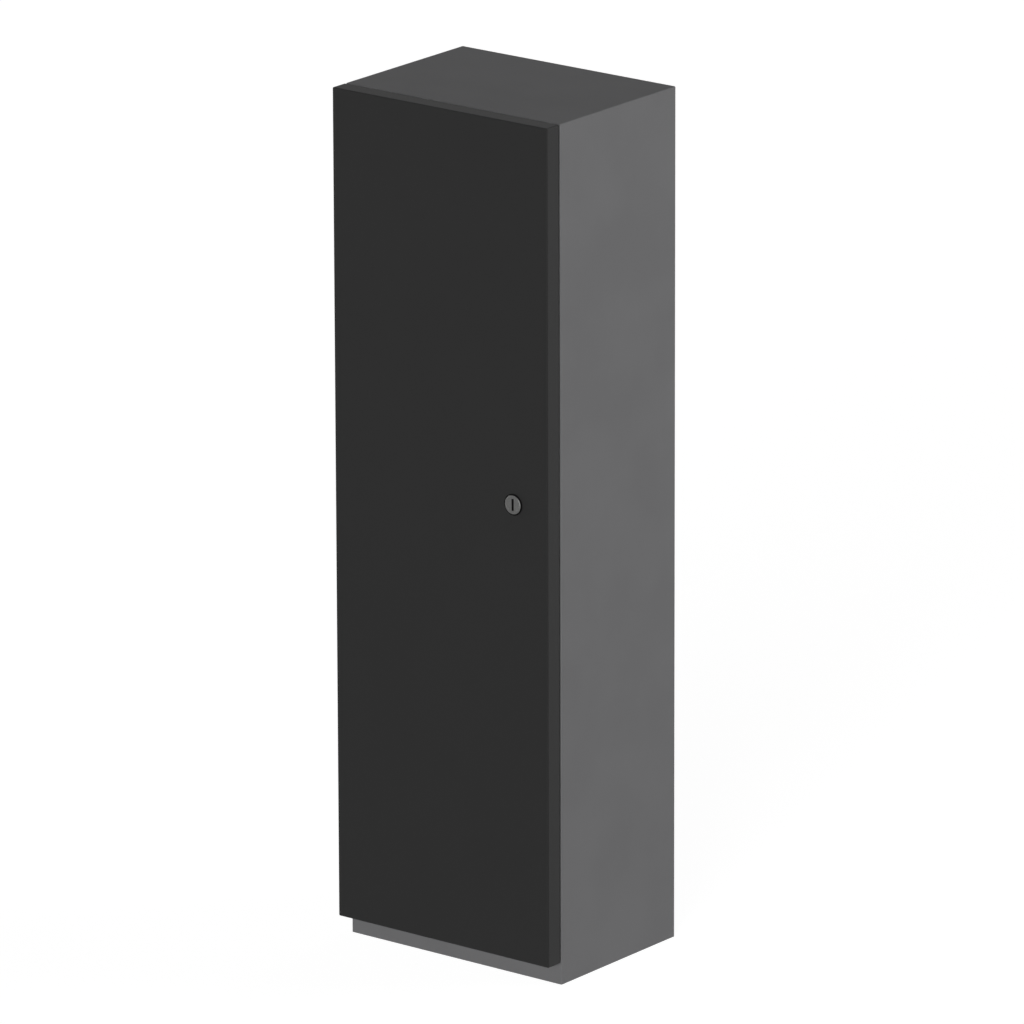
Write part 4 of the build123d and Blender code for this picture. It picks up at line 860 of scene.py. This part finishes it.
bracket_x = corners("sensor_bracket")[0].x
sensor_low, sensor_high = corners("limit_sensors")
sensor_y = middle("limit_sensors").y
nuts, ends = bmesh.new(), bmesh.new()
for sensor_z in (sensor_low.z + SENSOR_RADIUS, sensor_high.z - SENSOR_RADIUS):
    for nut_x, way in ((bracket_x, -1), (bracket_x + BRACKET_THICK, 1)):
        spin(nuts, SENSOR_NUT, (nut_x, sensor_y, sensor_z), (way, 0, 0), sides=6, closed=True)
    spin(ends, SENSOR_TIP, (sensor_low.x, sensor_y, sensor_z), (-1, 0, 0))
    spin(ends, SENSOR_BOOT, (sensor_high.x, sensor_y, sensor_z), (1, 0, 0))
make_piece("sensor_nuts", nuts, bright_zinc, "root")
make_piece("sensor_ends", ends, black_polyamide, "root")

# %% [markdown]
# ## The controller's face
# The control box has a lid on four screws, a small display in a bezel, three signal lamps and a button for
# each way. The display's window is smoked acrylic, polished and nearly black, so it mirrors more than it
# shows. The lamps are amber acrylic with the soft gloss of a moulding.

# %% Lid, display and lamps
LID_INSET = 9.0
LID_SCREW = (4.0, 1.8, cross, 1.2)
DISPLAY_HALF_WIDTH = 36.0
DISPLAY_HALF_HEIGHT = 16.0
DISPLAY_RISE = 26
BEZEL_WIDTH = 5.0
BEZEL_RISE = 2.0
BEZEL_EDGE = 0.8
BEZEL_INNER_EDGE = 0.6
PANE_EDGE = 0.6
PANE_RISE = 1.1
PANE_SIDE = 0.8
LAMP_RADIUS = 2.6
LAMP_HEIGHT = 2.2
LAMP_DOME = (25, 50, 70)
LAMP_STEP = 14
LAMP_DROP = 6

smoked_acrylic = moulded("smoked_acrylic", "0c0f11", "0f1315", 0.06, 8.0, height_mm=0.001)
lamp_acrylic = moulded("amber_lamp_acrylic", "b97a22", "c4842a", 0.18, 3.0, height_mm=0.003)

lid_low, lid_high = corners("controller_lid")
lid_middle = middle("controller_lid")
lid_front = lid_low.y
lid_sides = (lid_low.x + LID_INSET, lid_high.x - LID_INSET)
lid_rows = (lid_low.z + LID_INSET, lid_high.z - LID_INSET)
lid_seats = [(x, lid_front, z) for x in lid_sides for z in lid_rows]
screws("lid_screws", "root", OUTWARD, lid_seats, LID_SCREW)

display_place = Vector((lid_middle.x, lid_front, lid_middle.z + DISPLAY_RISE))
bezel = [(0, 0), (BEZEL_WIDTH, 0), (BEZEL_WIDTH, BEZEL_RISE - BEZEL_EDGE)]
bezel += [(BEZEL_WIDTH - BEZEL_EDGE, BEZEL_RISE), (BEZEL_EDGE, BEZEL_RISE)]
bezel.append((0, BEZEL_RISE - BEZEL_INNER_EDGE))
bm = bmesh.new()
frame_strip(bm, display_place, DISPLAY_HALF_WIDTH, DISPLAY_HALF_HEIGHT, bezel)
make_piece("display_bezel", bm, black_polyamide, "root")

half_pane = [(DISPLAY_HALF_WIDTH - PANE_EDGE, PANE_RISE), (DISPLAY_HALF_WIDTH, PANE_SIDE)]
half_pane.append((DISPLAY_HALF_WIDTH, 0))
pane = [(-u, v) for u, v in reversed(half_pane)] + half_pane
outline = [display_place + Vector((u, -v, -DISPLAY_HALF_HEIGHT)) for u, v in pane]
bm = bmesh.new()
prism(bm, outline, (0, 0, 2 * DISPLAY_HALF_HEIGHT))
make_piece("display_window", bm, smoked_acrylic, "root")

lamp = [(0, 0), (0, LAMP_RADIUS)]
lamp += [(LAMP_HEIGHT * sin(turn), LAMP_RADIUS * cos(turn)) for turn in map(radians, LAMP_DOME)]
lamp.append((LAMP_HEIGHT, 0))
bm = bmesh.new()
for step in (-1, 0, 1):
    spin(bm, lamp, (lid_middle.x + step * LAMP_STEP, lid_front, lid_middle.z - LAMP_DROP), OUTWARD, sides=24)
make_piece("signal_lamps", bm, lamp_acrylic, "root")

# %% [markdown]
# ## Buttons and glands
# Each button stands in a metal ring, and a triangle of white pad print over it says which way the boom goes.
# Print is matt and only a few hundredths of a millimetre thick: the plate drawn here is thicker, so that its
# edge shows. Cable glands hang under the box, each a hexagon nut with a dome that closes round a cable.

# %% Buttons and glands
COLLAR = ((0, 7.4), (1.0, 7.4), (1.4, 7.8), (1.4, 9.3), (1.0, 9.8), (0, 9.8))
ARROW = ((-4.2, -3.4), (4.2, -3.4), (0, 4.0))
ARROW_RISE = 17
PRINT_THICK = 0.35
GLAND_SHARES = (0.2, 0.5, 0.8)
GLAND_NUT = ((0, 0), (0, 9.6), (4.5, 9.6), (5, 9.0), (5, 0))
GLAND_DOME = ((5, 0), (5, 8.6), (11, 8.6), (14, 7.4), (16, 5.4), (16, 3.4), (12, 3.4), (12, 0))

white_print = moulded("white_pad_print", "d9d9d6", "e0e0dd", 0.55, 1.0, height_mm=0.005)

collars, arrows = bmesh.new(), bmesh.new()
for button, way in (("raise_button", 1), ("lower_button", -1)):
    button_middle = middle(button)
    spin(collars, COLLAR, (button_middle.x, lid_front, button_middle.z), OUTWARD, sides=48, closed=True)
    arrow_z = button_middle.z + ARROW_RISE
    outline = [(button_middle.x + u, lid_front, arrow_z + way * v) for u, v in ARROW]
    prism(arrows, outline, (0, -PRINT_THICK, 0))
make_piece("button_collars", collars, bright_zinc, "root")
make_piece("button_arrows", arrows, white_print, "root")

case_low, case_high = corners("controller_case")
bm = bmesh.new()
for share in GLAND_SHARES:
    gland = (case_low.x + share * (case_high.x - case_low.x), middle("controller_case").y, case_low.z)
    spin(bm, GLAND_NUT, gland, DOWNWARD, sides=6)
    spin(bm, GLAND_DOME, gland, DOWNWARD, sides=40)
make_piece("cable_glands", bm, black_polyamide, "root")

# %% [markdown]
# ## Breaker and supply
# A breaker for two poles is two moulded halves side by side, with a clamp screw in a funnel above and below
# each, and a rib between the funnels. The power supply's cover is held by four screws.

# %% Electrical details
BREAKER_NOSE = 18.0
POLE_ASIDE = 9
CLAMP_RISE = 31
FUNNEL = ((0, 3.6), (0.5, 3.6), (0.8, 3.9), (0.8, 4.8), (0, 5.2))
CLAMP_SCREW = (3.3, 0.5, cross_outline(2.3, 0.8), 0.45)
RIB_LENGTH = 18.0
RIB_START = 23.5
RIB_HALF_WIDTH = 0.5
RIB_RISE = 0.5
SUPPLY_INSET = 6
SUPPLY_SCREW = (2.8, 1.3, small_cross, 0.9)

breaker_middle = middle("circuit_breaker")
shoulder_y = corners("circuit_breaker")[0].y + BREAKER_NOSE
clamp_seats = [
    (breaker_middle.x + pole * POLE_ASIDE, shoulder_y, breaker_middle.z + row * CLAMP_RISE)
    for pole in (-1, 1)
    for row in (-1, 1)
]
bm = bmesh.new()
for seat in clamp_seats:
    spin(bm, FUNNEL, seat, OUTWARD, closed=True)
make_piece("breaker_funnels", bm, black_polyamide, "root")
screws("breaker_screws", "root", OUTWARD, clamp_seats, CLAMP_SCREW)

rib = [(-RIB_HALF_WIDTH, 0), (-RIB_HALF_WIDTH, RIB_RISE), (RIB_HALF_WIDTH, RIB_RISE), (RIB_HALF_WIDTH, 0)]
bm = bmesh.new()
for rib_low in (RIB_START, -RIB_START - RIB_LENGTH):
    outline = [(breaker_middle.x + u, shoulder_y - v, breaker_middle.z + rib_low) for u, v in rib]
    prism(bm, outline, (0, 0, RIB_LENGTH))
make_piece("breaker_ribs", bm, black_polyamide, "root")

supply_low, supply_high = corners("power_supply")
supply_sides = (supply_low.x + SUPPLY_INSET, supply_high.x - SUPPLY_INSET)
supply_rows = (supply_low.z + SUPPLY_INSET, supply_high.z - SUPPLY_INSET)
supply_seats = [(x, supply_low.y, z) for x in supply_sides for z in supply_rows]
screws("supply_screws", "root", OUTWARD, supply_seats, SUPPLY_SCREW)

# %% [markdown]
# ## Oil and grease
# A gearbox needs a plug to fill it with oil and one to drain it, each on a sealing ring. Each bearing has a
# grease nipple, a small turned bulb that a grease gun snaps onto. It points up and to the left.

# %% Oil plugs and grease nipples
COVER_BOSS = 3.0
PLUG_INSET = 20
PLUG_RING_RADIUS = 8.0
PLUG_RING_THICK = 1.2
PLUG_HEAD = (6.5, 5.0)
BOSS_RADIUS = 33.0
BOSS_DEPTH = 10.0
NIPPLE = (
    (0, 0), (0, 4.2), (2.2, 4.2), (2.6, 2.6), (5.5, 2.3), (6.4, 3.1), (8.2, 2.7), (9.2, 1.2), (9.2, 0),
)
NIPPLE_SUNK = 0.6
NIPPLE_LEAN = radians(120)

gear_low, gear_high = corners("gearbox_case")
cover_front = corners("gearbox_cover")[0].y + COVER_BOSS
plug_x = gear_high.x - PLUG_INSET
bm = bmesh.new()
for plug_z in (gear_high.z - PLUG_INSET, gear_low.z + PLUG_INSET):
    washer(bm, (plug_x, cover_front, plug_z), OUTWARD, PLUG_RING_RADIUS, PLUG_RING_THICK)
    hex_head(bm, (plug_x, cover_front - PLUG_RING_THICK, plug_z), OUTWARD, *PLUG_HEAD)
make_piece("oil_plugs", bm, bright_zinc, "root")

nipple_way = Vector((cos(NIPPLE_LEAN), 0, sin(NIPPLE_LEAN)))
bm = bmesh.new()
for seat_y in bearing_seats:
    boss = Vector((shaft_middle.x, seat_y - BEARING_FLANGE - BOSS_DEPTH / 2, shaft_middle.z))
    spin(bm, NIPPLE, boss + nipple_way * (BOSS_RADIUS - NIPPLE_SUNK), nipple_way, sides=24)
make_piece("grease_nipples", bm, bright_zinc, "root")

# %% [markdown]
# ## Earth studs
# The door and the cabinet each carry a welded stud for the earth wire, with a nut and a washer on it.

# %% Earth studs
WALL = 2
EARTH_RADIUS = 3.0
EARTH_PITCH = 1.0
EARTH_THREAD = 16
EARTH_FOOT = 0.5
EARTH_TIP = ((17, 2.4), (17, 0))
EARTH_NUT = (5.8, 5.0, 7.5)
DOOR_STUD_INSET = 52
DOOR_STUD_RISE = 74
SIDE_STUD_BEHIND = 60
SIDE_STUD_RISE = 120

door_stud = (door_high.x - DOOR_STUD_INSET, door_front + DOOR_SHEET, door_low.z + DOOR_STUD_RISE)
side_stud = (cabinet_low.x + WALL, cabinet_low.y + SIDE_STUD_BEHIND, SIDE_STUD_RISE)
thread = thread_profile(EARTH_THREAD, EARTH_RADIUS, EARTH_PITCH)
earth_profile = [(0, 0), (0, EARTH_RADIUS)] + [(along + EARTH_FOOT, radius) for along, radius in thread]
earth_profile += EARTH_TIP
for body, seat, way in (("door", door_stud, BACKWARD), ("root", side_stud, (1, 0, 0))):
    bm = bmesh.new()
    spin(bm, earth_profile, seat, way, sides=20)
    hex_head(bm, seat, way, *EARTH_NUT)
    make_piece(f"{body}_earth_stud", bm, bright_zinc, body)

# %% [markdown]
# ## The floor
# The picture has a white ground and no hard shadow. A studio gets that with a lit backdrop. Here the floor
# and the sky show a plain white to the camera and in reflections, while only a part of that light falls on
# the object. The floor keeps a little of its own shade under that white, so that the object's soft shadow
# stays.

# %% Floor
FLOOR_HALF = 30.0


def rays_that_see(tree):
    """1 for the rays that look at a surface: from the camera, from a reflection or through glass."""
    path = add(tree, "ShaderNodeLightPath")
    two = add(tree, "ShaderNodeMath", {"operation": "MAXIMUM"})
    three = add(tree, "ShaderNodeMath", {"operation": "MAXIMUM"})
    tree.links.new(path.outputs["Is Camera Ray"], two.inputs[0])
    tree.links.new(path.outputs["Is Glossy Ray"], two.inputs[1])
    tree.links.new(two.outputs["Value"], three.inputs[0])
    tree.links.new(path.outputs["Is Transmission Ray"], three.inputs[1])
    return three.outputs["Value"]


def white_ground(name, albedo, seen_albedo, glow):
    """A pale matt surface that camera and mirror rays see as white with a faint shadow."""
    material = bpy.data.materials.new(name)
    material.use_nodes = True
    tree = material.node_tree
    tree.nodes.clear()
    matt = add(tree, "ShaderNodeBsdfDiffuse", {"Color": linear(albedo)})
    faint = add(tree, "ShaderNodeBsdfDiffuse", {"Color": linear(seen_albedo)})
    glowing = add(tree, "ShaderNodeEmission", {"Strength": glow})
    white = add(tree, "ShaderNodeAddShader")
    tree.links.new(faint.outputs["BSDF"], white.inputs[0])
    tree.links.new(glowing.outputs["Emission"], white.inputs[1])
    choice = add(tree, "ShaderNodeMixShader", links={"Fac": rays_that_see(tree)})
    tree.links.new(matt.outputs["BSDF"], choice.inputs[1])
    tree.links.new(white.outputs["Shader"], choice.inputs[2])
    add(tree, "ShaderNodeOutputMaterial", links={"Surface": choice.outputs["Shader"]})
    return material


floor_mesh = bpy.data.meshes.new("floor")
floor_mesh.from_pydata([(x * FLOOR_HALF, y * FLOOR_HALF, 0) for x, y in CORNERS], [], [(0, 1, 2, 3)])
floor = bpy.data.objects.new("floor", floor_mesh)
floor.data.materials.append(white_ground("white_floor", albedo="d8d8d8", seen_albedo="8a8a8a", glow=0.94))
scene.collection.objects.link(floor)
print("floor", 2 * FLOOR_HALF, "m wide")

# %% [markdown]
# ## Light
# The light comes from the front and the right, and less from above, so the top is darker than the side. Two
# weaker lamps, level with the ground, keep the back and the left side from going black. They are suns, which
# light every part alike, and each is as wide as a lamp behind a cloth, so its shadows are soft.

# %% Lights
AMBIENT = 0.085


def sun(name, towards, level, spread_deg):
    """A soft sun that stands in this direction from the object. At level 1 it shows a white face as white."""
    light = bpy.data.lights.new(name, "SUN")
    light.energy = level * pi
    light.angle = radians(spread_deg)
    lamp = bpy.data.objects.new(name, light)
    lamp.rotation_mode = "QUATERNION"
    lamp.rotation_quaternion = Vector(towards).to_track_quat("Z", "Y")
    scene.collection.objects.link(lamp)
    print(name, "at level", level)


sun("key_from_the_front_right", (0.36, -0.92, 0.12), 0.94, 30)
sun("edge_from_the_far_right", (0.74, 0.66, 0.03), 0.80, 30)
sun("fill_for_the_back", (-0.08, 1.0, 0.0), 0.38, 20)
sun("fill_for_the_left", (-1.0, 0.0, 0.0), 0.60, 20)

world = bpy.data.worlds.new("studio")
world.use_nodes = True
scene.world = world
sky_tree = world.node_tree
sky_tree.nodes.clear()
light_level = range_of(sky_tree, rays_that_see(sky_tree), AMBIENT, 1.0)
sky = add(sky_tree, "ShaderNodeBackground", links={"Strength": light_level})
add(sky_tree, "ShaderNodeOutputWorld", links={"Surface": sky.outputs["Background"]})
